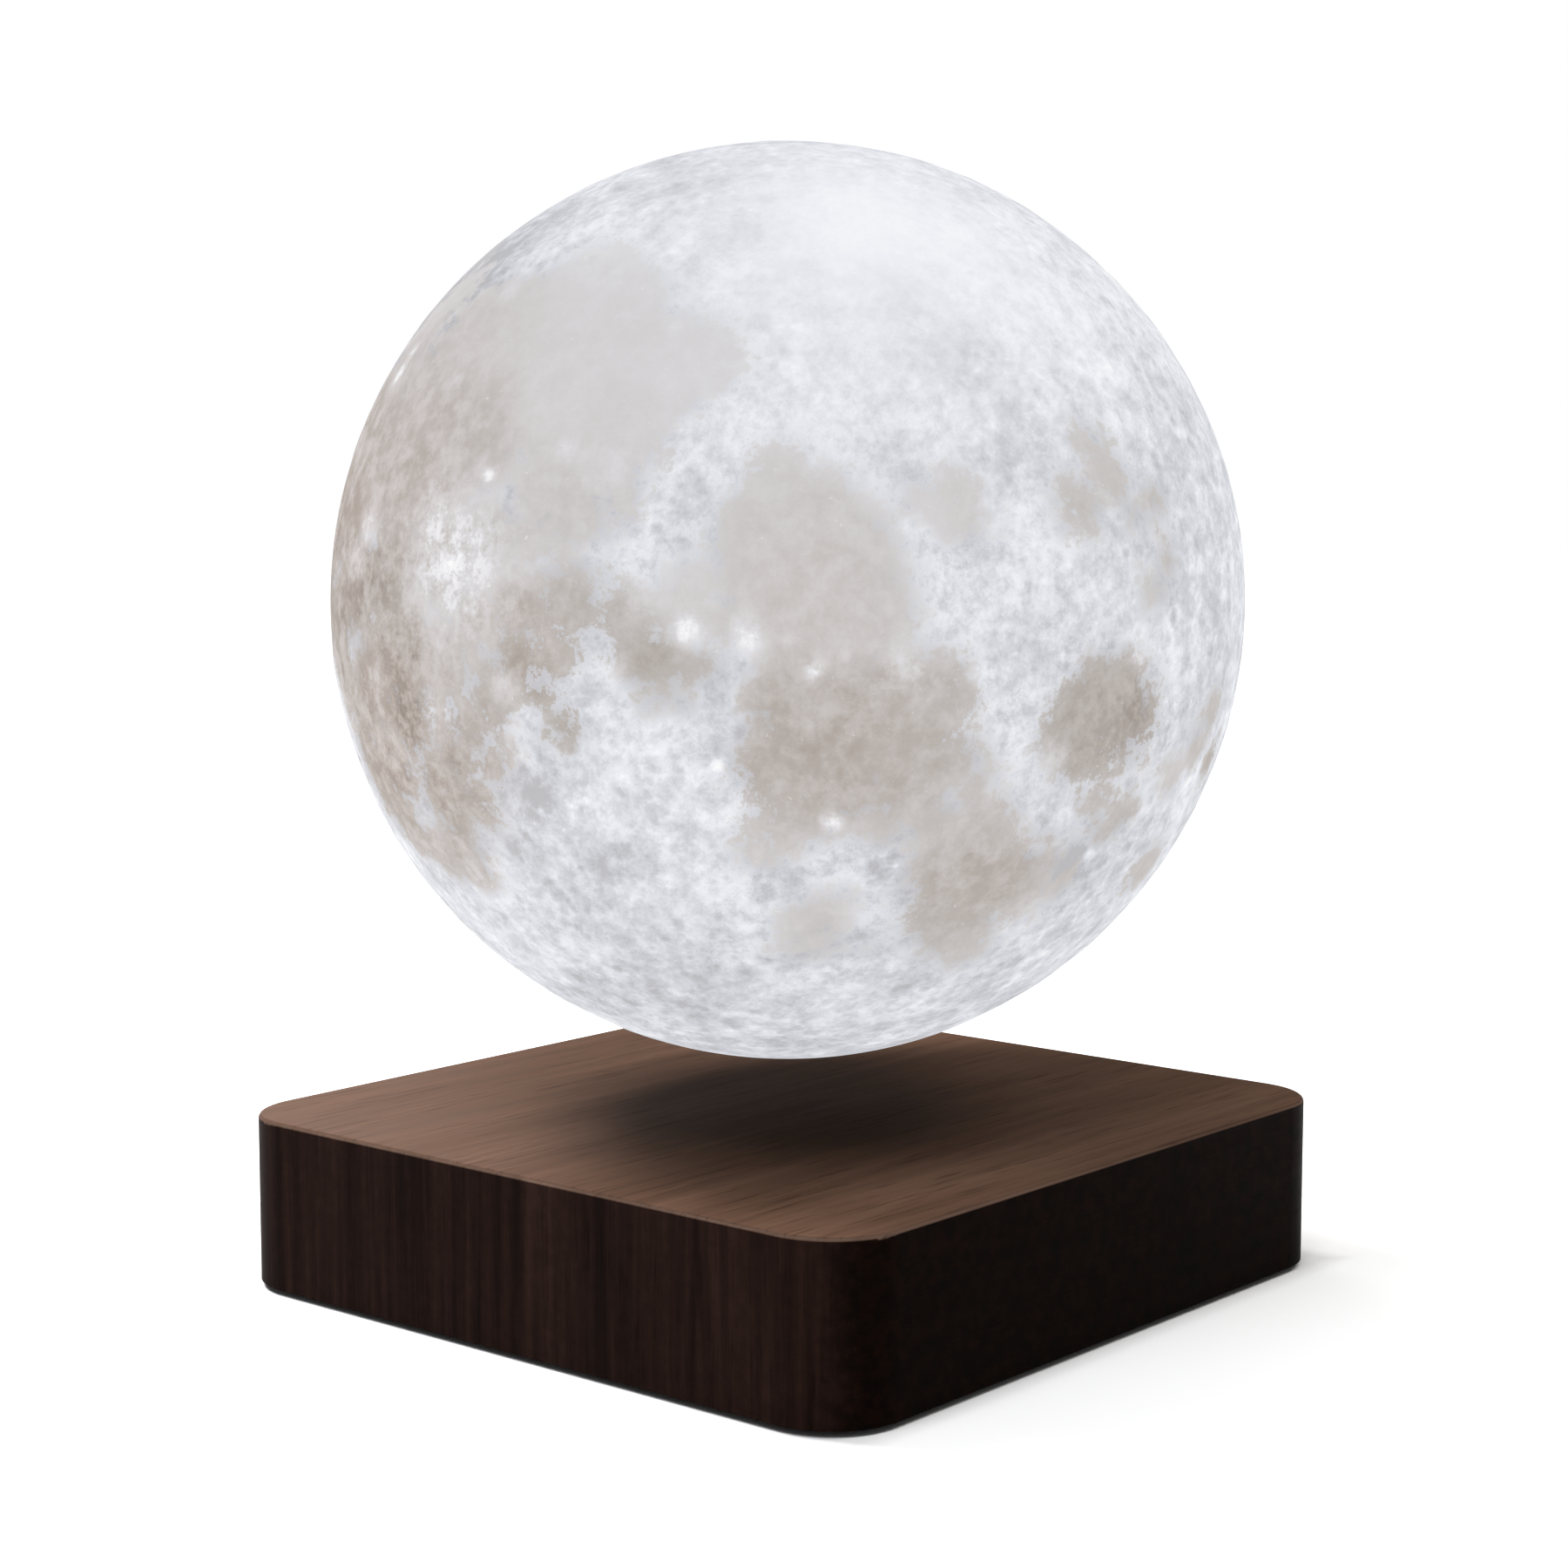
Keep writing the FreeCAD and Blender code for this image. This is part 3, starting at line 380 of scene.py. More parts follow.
# ---- broad soft greys with no edge: latitude, longitude, radius, how dark
HAZE = [
    (60.5, -20, 7, 0.22), (57.5, 2, 6, 0.16), (59, 24, 7, 0.2), (56, 36, 6.5, 0.3),
    (53.5, 42, 4.6, 0.42), (66, -50, 8, 0.22), (49, 49, 4, 0.2), (43, 52, 6, 0.22),
    (41, 27, 4, 0.3), (50, 87, 5, 0.28), (30, -67, 11, 1.4), (42, -62, 7, 0.5), (44, 84, 5, 0.25),
    (-13, 4, 6, 0.2), (-16, 9, 4, 0.3), (-11, 13, 4, 0.26), (-22, 5, 5, 0.28), (-24, 17, 7, 0.3),
    (-43, 18, 5, 0.4), (-46, 38, 6, 0.35), (-24.5, 50, 4, 0.36), (-20, 42, 3.4, 0.3),
    (-27, 64, 4, 0.3), (-9.8, -2.5, 4, 0.5), (-21, 0, 4, 0.5), (-22, 9.8, 4, 0.4),
    (-3.3, 65.1, 5, 0.5), (-5, 40, 4, 0.6), (-44, 14, 8, 0.5), (-38, 27, 6, 0.5),
    (-50, -165, 16, 0.4),
]

# ---- bright places: latitude, longitude, radius, how bright
BRIGHT = [
    (8.8, -21, 2.4, 2), (11, -26, 5, 1.2), (9.5, -21.5, 8, 1.3), (4.3, -40.6, 2.6, 1.2),
    (0.5, -41.5, 2.6, 0.9), (19, -56.5, 1.4, 2.2), (22, -57.5, 1, 1.3), (25.7, -38.7, 0.6, 0.6),
    (26.8, -14.1, 1.4, 0.75), (21.1, -31.7, 0.9, 0.5), (19.9, -22.5, 0.8, 1.9),
    (14.1, -30.3, 0.9, 0.8), (0, -19.6, 0.9, 0.9), (-4, -5.6, 1.4, 0.7), (-10.7, -30.6, 2, 0.55),
    (-20.8, -46, 3, 0.6), (37, -45.8, 1.5, 0.6), (48.5, -40, 5, 0.55), (51, -37, 4, 0.5),
    (45.2, -11.4, 0.8, 0.7), (48, -14.8, 1.1, 0.5), (55, -13.5, 2.6, 0.55), (27.5, -6.8, 3, 0.4),
    (17.6, -5, 3.4, 0.3), (19, 3, 4.4, 0.45), (14.8, 9.9, 1.6, 1.7), (16.2, 17, 1.5, 1.7),
    (17, 15.6, 1.2, 1.3), (15, 25, 1, 1.5), (17.4, 21.5, 0.9, 0.5), (17.2, 28, 0.8, 0.45),
    (1.4, 17.6, 0.8, 2), (-1.6, 31.8, 1.2, 1.3), (44, 24, 6, 0.4), (60, 100, 14, 0.5),
    (31, 50, 6, 0.35), (44.3, 57, 0.9, 0.8), (44.4, 33.2, 1, 0.7), (42.2, 34.5, 0.8, 0.7),
    (51, 20, 1.8, 0.5), (36, 48, 1.4, 0.6), (24, 38.5, 0.9, 0.8), (24.5, 41, 5, 0.45),
    (18.6, 44.5, 1.8, 0.7), (13.5, 49.5, 4.2, 0.5), (9, 51.5, 3.6, 0.4), (-3.6, 67, 0.8, 0.9),
    (-11.5, 62, 2.6, 0.5), (2, 10.5, 4.4, 0.5), (-1.8, -4.5, 1.2, 0.5), (0, -9, 1.6, 0.55),
    (7, 3.6, 2.2, 0.45), (-14, 24, 4, 0.5), (-10.5, 10, 2.4, 0.4), (-18, 27, 3.6, 0.5),
    (-30, -6, 6, 0.55), (-34, 4, 6, 0.35), (-22, 40, 2.6, 0.5), (-27, 44, 4, 0.4),
    (70, -2, 7, 0.5), (62, 60, 8, 0.35), (74, 40, 8, 0.35), (-43, -11, 2.4, 1),
    (-43, -11, 16, 0.2), (-54, 17, 11, 0.5), (-6, 33, 4, 0.4), (46, -52, 5, 0.45),
    (50, -32, 5, 0.35), (40.6, 12.6, 3, 0.5), (38.5, 8.6, 2.6, 0.45), (39.6, 20, 3.2, 0.5),
    (36.2, 26.4, 3.2, 0.45), (28.2, 38, 4.5, 0.6), (31.5, 34.4, 3, 0.45), (27, 45.5, 4.5, 0.5),
    (26, 56, 4, 0.4), (18.4, 35, 2.8, 0.7), (15.7, 49.8, 2.6, 0.8), (8.3, 55.3, 3, 0.6),
    (-13, 39, 2.4, 0.7), (-22.8, 25.3, 3.4, 0.5), (-26.6, 35.8, 3.4, 0.55),
]

# ---- craters that stand by themselves: latitude, longitude, radius
CRATERS = [
    (9.7, -20.6, 2), (5.2, -39.8, 1.2), (20.6, -51.5, 1.3), (27.6, -14.4, 1.2), (14.8, 9.9, 1.3),
    (16, 17.2, 1.2), (15.5, 25.6, 1.3), (-43, -11, 2.2), (51.6, -9.4, 2.4), (-1.6, 31.8, 1.1),
    (44.3, 57, 1.8), (-11.5, 62, 2.6), (50, 17, 2), (-9, -3, 2.4), (-14, -2, 2), (-11.5, 26.3, 2),
    (-13.3, 24, 1.9), (-18.1, 23.5, 2),
]

# ---- calm ground and warm ground: latitude, longitude, radius, how much
CALM = [
    (70, 10, 27, 1), (52, 20, 11, 0.7),
]
WARM = [
    (2, -50, 22, 1), (-16, -28, 19, 1), (-15, -12, 12, 0.7), (5, -10, 9, 0.6), (14, -40, 17, 0.8),
    (8, 30, 13, 0.4), (-6, 52, 10, 0.35), (13, 66, 9, 0.3), (22, 22, 9, 0.25),
]


def box_size(node):
    low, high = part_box(node)
    return high - low


def geographic(latitude, longitude):
    """Unit vector of a place on the Moon in its own frame."""
    a, b = math.radians(latitude), math.radians(longitude)
    return Vector((math.cos(a) * math.cos(b), math.cos(a) * math.sin(b), math.sin(a)))


# ---- camera


def camera_place():
    azimuth = math.radians(CAMERA_AZIMUTH)
    elevation = math.radians(CAMERA_ELEVATION)
    reach = CAMERA_DISTANCE * base_side
    level = reach * math.cos(elevation)
    height = base_top + reach * math.sin(elevation)
    return Vector((level * math.sin(azimuth), -level * math.cos(azimuth), height))


def make_camera():
    data = bpy.data.cameras.new("camera")
    data.lens = CAMERA_LENS
    data.sensor_width = SENSOR_WIDTH
    data.clip_start = CLIP_START
    camera = bpy.data.objects.new("camera", data)
    camera.location = camera_place()
    pitch = math.radians(90 - CAMERA_PITCH)
    camera.rotation_euler = (pitch, 0, math.radians(CAMERA_YAW))
    bpy.context.scene.collection.objects.link(camera)
    bpy.context.scene.camera = camera


# ---- the Moon's map


def moon_turn():
    """Rotation from the Moon's own frame to the lamp's, so that it shows the photograph's face."""
    towards = (camera_place() - moon_centre).normalized()
    right = Vector((0, 0, 1)).cross(towards).normalized()
    up = towards.cross(right)
    tilt = math.radians(FACE_TILT)
    north = up * math.cos(tilt) + right * math.sin(tilt)
    east = north.cross(towards)
    face = geographic(FACE_LATITUDE, FACE_LONGITUDE)
    pole = Vector((0, 0, 1))
    map_north = (pole - face * pole.dot(face)).normalized()
    map_east = map_north.cross(face)
    lamp = Matrix((towards, north, east)).transposed()
    map_frame = Matrix((face, map_north, map_east)).transposed()
    return lamp @ map_frame.transposed()


def placed(rows):
    """Unit vectors in the lamp's frame of the rows' places, and the rest of each row."""
    turn = moon_turn()
    centres = np.array([turn @ geographic(row[0], row[1]) for row in rows])
    return centres, np.array([row[2:] for row in rows])


def smooth(value, low, high):
    t = np.clip((value - low) / (high - low), 0, 1)
    return t * t * (3 - 2 * t)


def bell(value):
    return np.exp(-(value**2))


def degrees_from(directions, centre):
    return np.degrees(np.arccos(np.clip(directions @ centre, -1, 1)))


def sea_field(directions):
    """Distance inside the nearest sea's edge in degrees, and how dark the sea is there."""
    centres, values = placed(SEAS)
    best = np.full(len(directions), NO_SEA)
    weight = np.zeros(len(directions))
    dark = np.zeros(len(directions))
    for centre, (radius, depth) in zip(centres, values):
        inside = radius - degrees_from(directions, centre)
        join = np.clip(0.5 + 0.5 * (inside - best) / SEA_JOIN, 0, 1)
        best = inside * join + best * (1 - join) + SEA_JOIN * join * (1 - join)
        near = np.exp(np.clip(inside, *SHADE_LIMITS) / SHADE_JOIN)
        weight += near
        dark += near * depth
    return best, dark / weight


def soft_field(rows, directions):
    """The strongest of the rows' soft round patches at each place."""
    centres, values = placed(rows)
    total = np.zeros(len(directions))
    for centre, (radius, amount) in zip(centres, values):
        total = np.maximum(total, amount * bell(degrees_from(directions, centre) / radius))
    return total


def wave_noise(directions, frequency, octaves, seed):
    """Smooth noise on the ball from sums of randomly turned waves."""
    rng = np.random.default_rng(seed)
    total = np.zeros(len(directions))
    size = 1.0
    for _ in range(octaves):
        waves = rng.normal(size=(WAVES_PER_OCTAVE, 3))
        waves /= np.linalg.norm(waves, axis=1)[:, None]
        phases = rng.random(WAVES_PER_OCTAVE) * 2 * math.pi
        for wave, phase in zip(waves, phases):
            total += size * np.sin(directions @ wave * frequency + phase) / WAVES_PER_OCTAVE
        size *= OCTAVE_SIZE
        frequency *= OCTAVE_FREQUENCY
    return total


def wandering(directions):
    """The directions moved about a little, so that round patches get uneven outlines."""
    moves = [wave_noise(directions, *WANDER_WAVES, WANDER_SEED + axis) for axis in range(3)]
    moved = directions + math.radians(WANDER) * np.stack(moves, axis=1)
    return moved / np.linalg.norm(moved, axis=1)[:, None]


# ---- craters


def crater_height(share):
    """Height of a crater at a share of its radius from its middle: bowl, raised rim and apron."""
    bowl = -1.0 + (1.0 + RIM_HEIGHT) * smooth(share, *BOWL_WALL)
    apron = RIM_HEIGHT * bell((share - 1.0) / APRON_WIDTH)
    return np.where(share < 1.0, bowl, apron)


def crater_tone(share):
    """Light and grey of a small crater: grey floor, white rim."""
    white, width = RIM_TONE
    return white * bell((share - 1.0) / width) - FLOOR_TONE * (1 - smooth(share, *FLOOR_EDGE))


def halo_tone(share):
    """Light of a young crater: a white dot in a faint halo."""
    return sum(light * bell(share / width) for light, width in (HALO_CORE, HALO_GLOW))


def crater_depth(radius):
    return CRATER_DEPTH * min(1.0, (radius / FULL_DEPTH_RADIUS) ** DEPTH_POWER)


def random_craters(rng, count, smallest, largest):
    """Evenly strewn middles and radii, with many small ones for each large one."""
    centres = rng.normal(size=(count, 3))
    centres /= np.linalg.norm(centres, axis=1)[:, None]
    share = rng.random(count)
    span = (largest / smallest) ** (-CRATER_POWER)
    return centres, smallest * (1 - share * (1 - span)) ** (-1 / CRATER_POWER)


class Ball:
    """The globe's outer points as rows from its opening to its top, each point a direction."""

    def __init__(self, directions):
        self.field = np.zeros((GLOBE_ROWS, GLOBE_SEGMENTS))
        self.rows = directions[: self.field.size].reshape(*self.field.shape, 3)
        self.polar = np.arccos(np.clip(-self.rows[:, 0, 2], -1, 1))

    def stamp(self, centre, radius, form, amount):
        """Adds one round form to the field, amount high and radius degrees wide."""
        reach = math.radians(radius * STAMP_REACH)
        polar = math.acos(max(-1.0, min(1.0, -centre[2])))
        first, last = np.searchsorted(self.polar, (polar - reach, polar + reach))
        if first == last:
            return
        place = np.ix_(np.arange(first, last), self.columns(centre, polar, reach))
        away = degrees_from(self.rows[place], centre) / radius
        near = np.where(away < STAMP_REACH, form(away), 0.0)
        strength = amount[place] if isinstance(amount, np.ndarray) else amount
        self.field[place] += near * strength

    def columns(self, centre, polar, reach):
        if min(polar, math.pi - polar) <= reach:
            return np.arange(GLOBE_SEGMENTS)
        per_turn = GLOBE_SEGMENTS / (2 * math.pi)
        half = math.asin(math.sin(reach) / math.sin(polar)) * per_turn
        middle = math.atan2(centre[1], centre[0]) * per_turn
        return np.arange(math.floor(middle - half), math.ceil(middle + half) + 1) % GLOBE_SEGMENTS


def relief(directions, inside_sea):
    """Height of the printed relief, in shares of its depth."""
    rng = np.random.default_rng(SEED)
    ball = Ball(directions)
    level = 1 - SEA_CALM * smooth(inside_sea, *CALM_BAND)
    calm = level[: ball.field.size].reshape(ball.field.shape)
    for centre, radius in zip(*random_craters(rng, *RELIEF_CRATERS)):
        ball.stamp(centre, radius, crater_height, crater_depth(radius) * calm)
    for centre, (radius,) in zip(*placed(CRATERS)):
        ball.stamp(centre, radius, crater_height, crater_depth(radius))
    height = LAND_LEVEL * level
    height[: ball.field.size] += ball.field.ravel()
    return height + ROLLING * wave_noise(directions, *ROLLING_WAVES, ROLLING_SEED)


def crater_light(directions):
    """How much whiter, or greyer below 0, the small craters make the ground."""
    rng = np.random.default_rng(TONE_SEED)
    ball = Ball(directions)
    for centre, radius in zip(*random_craters(rng, *TONE_CRATERS)):
        ball.stamp(centre, radius, crater_tone, rng.uniform(*TONE_AMOUNT))
    for centre, radius in zip(*random_craters(rng, *YOUNG_CRATERS)):
        ball.stamp(centre, radius, halo_tone, rng.uniform(*YOUNG_AMOUNT))
    light = np.zeros(len(directions))
    light[: ball.field.size] = ball.field.ravel()
    near_side = np.array(moon_turn() @ geographic(0, 0))
    far = smooth(-(directions @ near_side), *FAR_SIDE_BAND)
    return light * (1 + FAR_SIDE_CRATERS * far)


# ---- meshes


def new_object(mesh):
    piece = bpy.data.objects.new(mesh.name, mesh)
    bpy.context.scene.collection.objects.link(piece)
    return piece


def revolved_mesh(name, profile, segments):
    """A closed section turned about the upright axis, and the row of each point."""
    angles = np.arange(segments) * 2 * math.pi / segments
    circle = np.stack([np.cos(angles), np.sin(angles)], axis=1)
    rings = []
    for radius, height in profile:
        if radius == 0:
            rings.append(np.array([[0.0, 0.0, height]]))
        else:
            rings.append(np.column_stack([circle * radius, np.full(segments, height)]))
    sizes = [len(ring) for ring in rings]
    starts = [sum(sizes[:row]) for row in range(len(rings))]
    faces = []
    for row, a in enumerate(starts):
        after = (row + 1) % len(rings)
        b = starts[after]
        alone_a, alone_b = sizes[row] == 1, sizes[after] == 1
        if alone_a and alone_b:
            continue
        for step in range(segments):
            turn = (step + 1) % segments
            if alone_b:
                faces.append((a + step, a + turn, b))
            elif alone_a:
                faces.append((a, b + turn, b + step))
            else:
                faces.append((a + step, a + turn, b + turn, b + step))
    mesh = bpy.data.meshes.new(name)
    mesh.from_pydata(np.concatenate(rings).tolist(), [], faces)
    mesh.update()
    return mesh, np.repeat(np.arange(len(rings)), sizes)


# ---- the globe


def shell_profile():
    """The shell's closed section: how many of its points lie outside, then radius and height."""
    opening = box_size("magnet_cup").x / 2 + CUP_CLEARANCE
    start = math.asin(opening / moon_radius)
    middle = moon_centre.z
    points = []
    for row in range(GLOBE_ROWS):
        angle = start + (math.pi - start) * row / GLOBE_ROWS
        height = middle - moon_radius * math.cos(angle)
        points.append((moon_radius * math.sin(angle), height))
    points.append((0.0, middle + moon_radius))
    outside = len(points)
    inner = moon_radius - GLOBE_WALL
    points.append((0.0, middle + inner))
    bore = opening - FLANGE_LEDGE
    collar = bore + COLLAR_WALL
    end = math.asin(collar / inner)
    for row in range(1, INNER_ROWS + 1):
        angle = math.pi + (end - math.pi) * row / INNER_ROWS
        points.append((inner * math.sin(angle), middle - inner * math.cos(angle)))
    rim = middle - moon_radius * math.cos(start)
    ledge = rim + FLANGE_THICKNESS
    points.append((collar, ledge + COLLAR_HEIGHT))
    points.append((bore, ledge + COLLAR_HEIGHT))
    points.append((bore, ledge))
    points.append((opening, ledge))
    return outside, points


def add_field(mesh, name, values):
    layer = mesh.attributes.new(name, "FLOAT", "POINT")
    layer.data.foreach_set("value", values.astype(np.float32))


def make_globe(material):
    """The printed globe: a shell open below, whose outside carries the Moon's relief."""
    outside, profile = shell_profile()
    mesh, row_of = revolved_mesh("globe", profile, GLOBE_SEGMENTS)
    points = np.empty(len(mesh.vertices) * 3)
    mesh.vertices.foreach_get("co", points)
    points = points.reshape(-1, 3)
    middle = np.array(moon_centre)
    directions = points - middle
    directions /= np.linalg.norm(directions, axis=1)[:, None]
    wander = wandering(directions)
    inside_sea, dark = sea_field(wander)
    tones = crater_light(directions) * (1 - SEA_CALM * smooth(inside_sea, *TONE_BAND))
    add_field(mesh, "sea", np.maximum(inside_sea + FAR_FROM_SEA, 0))
    add_field(mesh, "dark", dark)
    add_field(mesh, "haze", soft_field(HAZE, wander))
    add_field(mesh, "bright", soft_field(BRIGHT, directions))
    add_field(mesh, "craters", tones)
    add_field(mesh, "warm", soft_field(WARM, directions))
    add_field(mesh, "calm", soft_field(CALM, directions))
    height = relief(directions, inside_sea)
    height -= np.percentile(height, HIGHEST_PERCENT)
    opening = math.degrees(math.asin(profile[0][0] / moon_radius))
    from_below = degrees_from(directions, (0, 0, -1))
    fade = smooth(from_below, opening, opening + RIM_FADE)
    depth = np.clip(-height, 0, 1) * fade * RELIEF_DEPTH
    moved = middle + directions * (moon_radius - depth)[:, None]
    shown = row_of < outside
    points[shown] = moved[shown]
    mesh.vertices.foreach_set("co", points.ravel())
    mesh.shade_smooth()
    mesh.set_sharp_from_angle(angle=math.radians(SHARP_ANGLE))
    mesh.materials.append(material)
    globe = new_object(mesh)
    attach(globe, "moon")
    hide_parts("moon_shell")
    return globe


# ---- materials


class Nodes:
    """Short names for building one node material."""

    def __init__(self, name):
        self.material = bpy.data.materials.new(name)
        self.material.use_nodes = True
        self.tree = self.material.node_tree
        self.shader = self.tree.nodes["Principled BSDF"]

    def add(self, kind, **settings):
        node = self.tree.nodes.new(kind)
        for key, value in settings.items():
            setattr(node, key, value)
        return node

    def link(self, value, socket):
        if isinstance(value, bpy.types.NodeSocket):
            self.tree.links.new(value, socket)
        else:
            socket.default_value = value

    def fill(self, node, **values):
        """Values or outputs for sockets, by name with _ for a space."""
        for key, value in values.items():
            self.link(value, node.inputs[key.replace("_", " ")])

    def math(self, operation, first, second=0.0, third=None, clamp=False):
        node = self.add("ShaderNodeMath", operation=operation, use_clamp=clamp)
        self.link(first, node.inputs[0])
        self.link(second, node.inputs[1])
        if third is not None:
            self.link(third, node.inputs[2])
        return node.outputs[0]

    def blend(self, first, second, shares):
        """The sum of two values in these shares."""
        return self.math("MULTIPLY_ADD", first, shares[0], self.math("MULTIPLY", second, shares[1]))

    def place(self, scale=(1, 1, 1), offset=(0, 0, 0)):
        """Object coordinates, offset and then scaled."""
        where = self.add("ShaderNodeTexCoord")
        shift = self.add("ShaderNodeVectorMath", operation="ADD")
        shift.inputs[1].default_value = offset
        self.link(where.outputs["Object"], shift.inputs[0])
        return self.stretch(shift.outputs[0], scale)

    def stretch(self, vector, scale):
        node = self.add("ShaderNodeVectorMath", operation="MULTIPLY")
        node.inputs[1].default_value = scale
        self.link(vector, node.inputs[0])
        return node.outputs[0]

    def split(self, vector):
        node = self.add("ShaderNodeSeparateXYZ")
        self.link(vector, node.inputs[0])
        return node.outputs

    def noise(self, vector, scale, detail, roughness, distortion=0.0):
        node = self.add("ShaderNodeTexNoise")
        self.fill(node, Vector=vector, Scale=scale, Detail=detail)
        self.fill(node, Roughness=roughness, Distortion=distortion)
        return node.outputs["Fac"]

    def spread(self, value, low, high, new_low=0.0, new_high=1.0, smooth_step=False):
        """The range from low to high stretched to the new one."""
        node = self.add("ShaderNodeMapRange")
        node.interpolation_type = "SMOOTHSTEP" if smooth_step else "LINEAR"
        self.fill(node, Value=value, From_Min=low, From_Max=high, To_Min=new_low, To_Max=new_high)
        return node.outputs["Result"]

    def ramp(self, value, stops):
        node = self.add("ShaderNodeValToRGB")
        self.link(value, node.inputs[0])
        elements = node.color_ramp.elements
        while len(elements) < len(stops):
            elements.new(0.5)
        for element, (place, colour) in zip(elements, stops):
            element.position = place
            element.color = colour
        return node.outputs[0]

    def mix(self, share, first, second, kind="MIX"):
        node = self.add("ShaderNodeMix", data_type="RGBA", blend_type=kind)
        self.link(share, node.inputs["Factor"])
        self.link(first, node.inputs[6])
        self.link(second, node.inputs[7])
        return node.outputs[2]

    def field(self, name):
        node = self.add("ShaderNodeAttribute", attribute_name=name)
        return node.outputs["Fac"]

    def bump(self, height, distance, strength):
        node = self.add("ShaderNodeBump")
        self.fill(node, Strength=strength, Distance=distance, Height=height)
        self.link(node.outputs[0], self.shader.inputs["Normal"])

    def set(self, **values):
        """The same for the shader's own sockets."""
        self.fill(self.shader, **values)


def moon_material():
    """Printed plastic with the Moon's face: bright highlands, ragged grey seas, haloes, specks."""
    n = Nodes("moon_print")
    size = 1 / moon_radius
    where = n.place((size, size, size), -moon_centre)
    broad = n.noise(where, *BROAD_NOISE)
    coarse = n.noise(where, *COARSE_NOISE)
    medium = n.noise(where, *MEDIUM_NOISE)
    fine = n.noise(where, *FINE_NOISE)
    warm = n.field("warm")
    craters = n.field("craters")

    inside = n.math("SUBTRACT", n.field("sea"), FAR_FROM_SEA)
    for noise, degrees in ((coarse, COARSE_RAG), (medium, MEDIUM_RAG), (fine, FINE_RAG)):
        inside = n.math("MULTIPLY_ADD", n.math("SUBTRACT", noise, 0.5), degrees, inside)
    edge = n.spread(broad, *EDGE_SOFTNESS)
    in_sea = n.spread(inside, n.math("MULTIPLY", edge, -1.0), edge, smooth_step=True)
    broken = n.spread(n.blend(medium, fine, BROKEN_MIX), *BROKEN_LIGHT)
    light = n.math("MULTIPLY", n.field("bright"), broken)
    unlit = n.math("SUBTRACT", 1.0, light, clamp=True)

    clouds = n.spread(n.blend(medium, coarse, CLOUD_MIX), *CLOUD_RANGE)
    clouds = n.math("MULTIPLY", clouds, n.math("MULTIPLY_ADD", warm, *CLOUD_LIGHT))
    depth = n.math("MULTIPLY", n.field("dark"), n.spread(medium, *SEA_MOTTLE))
    depth = n.math("MULTIPLY", depth, n.math("SUBTRACT", 1.0, clouds))
    depth = n.math("MULTIPLY", depth, unlit)
    depth = n.math("MULTIPLY_ADD", n.math("MAXIMUM", craters, 0.0), SEA_CRATERS, depth)
    sea = n.ramp(n.spread(depth, *SEA_SPAN), SEA_RAMP)
    sea = n.mix(n.math("MULTIPLY", warm, WARM_SEA), sea, WARM_TINT, "MULTIPLY")

    ground = n.math("ADD", n.spread(fine, *RUBBLE), n.spread(medium, *HILLS))
    ground = n.math("ADD", ground, n.spread(coarse, *PATCHES))
    ground = n.math("MULTIPLY_ADD", craters, LAND_CRATERS, ground)
    ground = n.math("MULTIPLY", ground, n.spread(n.field("calm"), *CALM_LAND))
    ground = n.math("ADD", ground, n.field("haze"))
    ground = n.math("MULTIPLY", ground, unlit)
    land = n.ramp(n.spread(ground, *LAND_SPAN), LAND_RAMP)
    land = n.mix(n.math("MULTIPLY", warm, WARM_LAND), land, WARM_TINT, "MULTIPLY")

    colour = n.mix(in_sea, land, sea)
    specks = n.spread(fine, *SPECKS, smooth_step=True)
    specks = n.math("MAXIMUM", specks, n.spread(light, *HALO_SPECKS))
    colour = n.mix(specks, colour, WHITE_SPECK)
    answering = (SURFACE_SHARE, SURFACE_SHARE, SURFACE_SHARE, 1.0)
    height = n.split(where)[2]
    # painted light: the glow grows towards the bottom to lift the shade there
    strength = n.spread(height, *BOTTOM_BAND, 1.0, BOTTOM_PAINTED_GLOW, smooth_step=True)
    glow = n.add("ShaderNodeVectorMath", operation="SCALE")
    n.link(colour, glow.inputs[0])
    n.link(strength, glow.inputs["Scale"])
    n.set(**PRINT_LOOK, Base_Color=n.mix(1.0, colour, answering, "MULTIPLY"))
    n.set(Emission_Color=glow.outputs[0], Emission_Strength=LAMP_GLOW)
    n.bump(n.math("ADD", fine, n.math("MULTIPLY", medium, MEDIUM_BUMP)), *PRINT_BUMP)
    return n.material


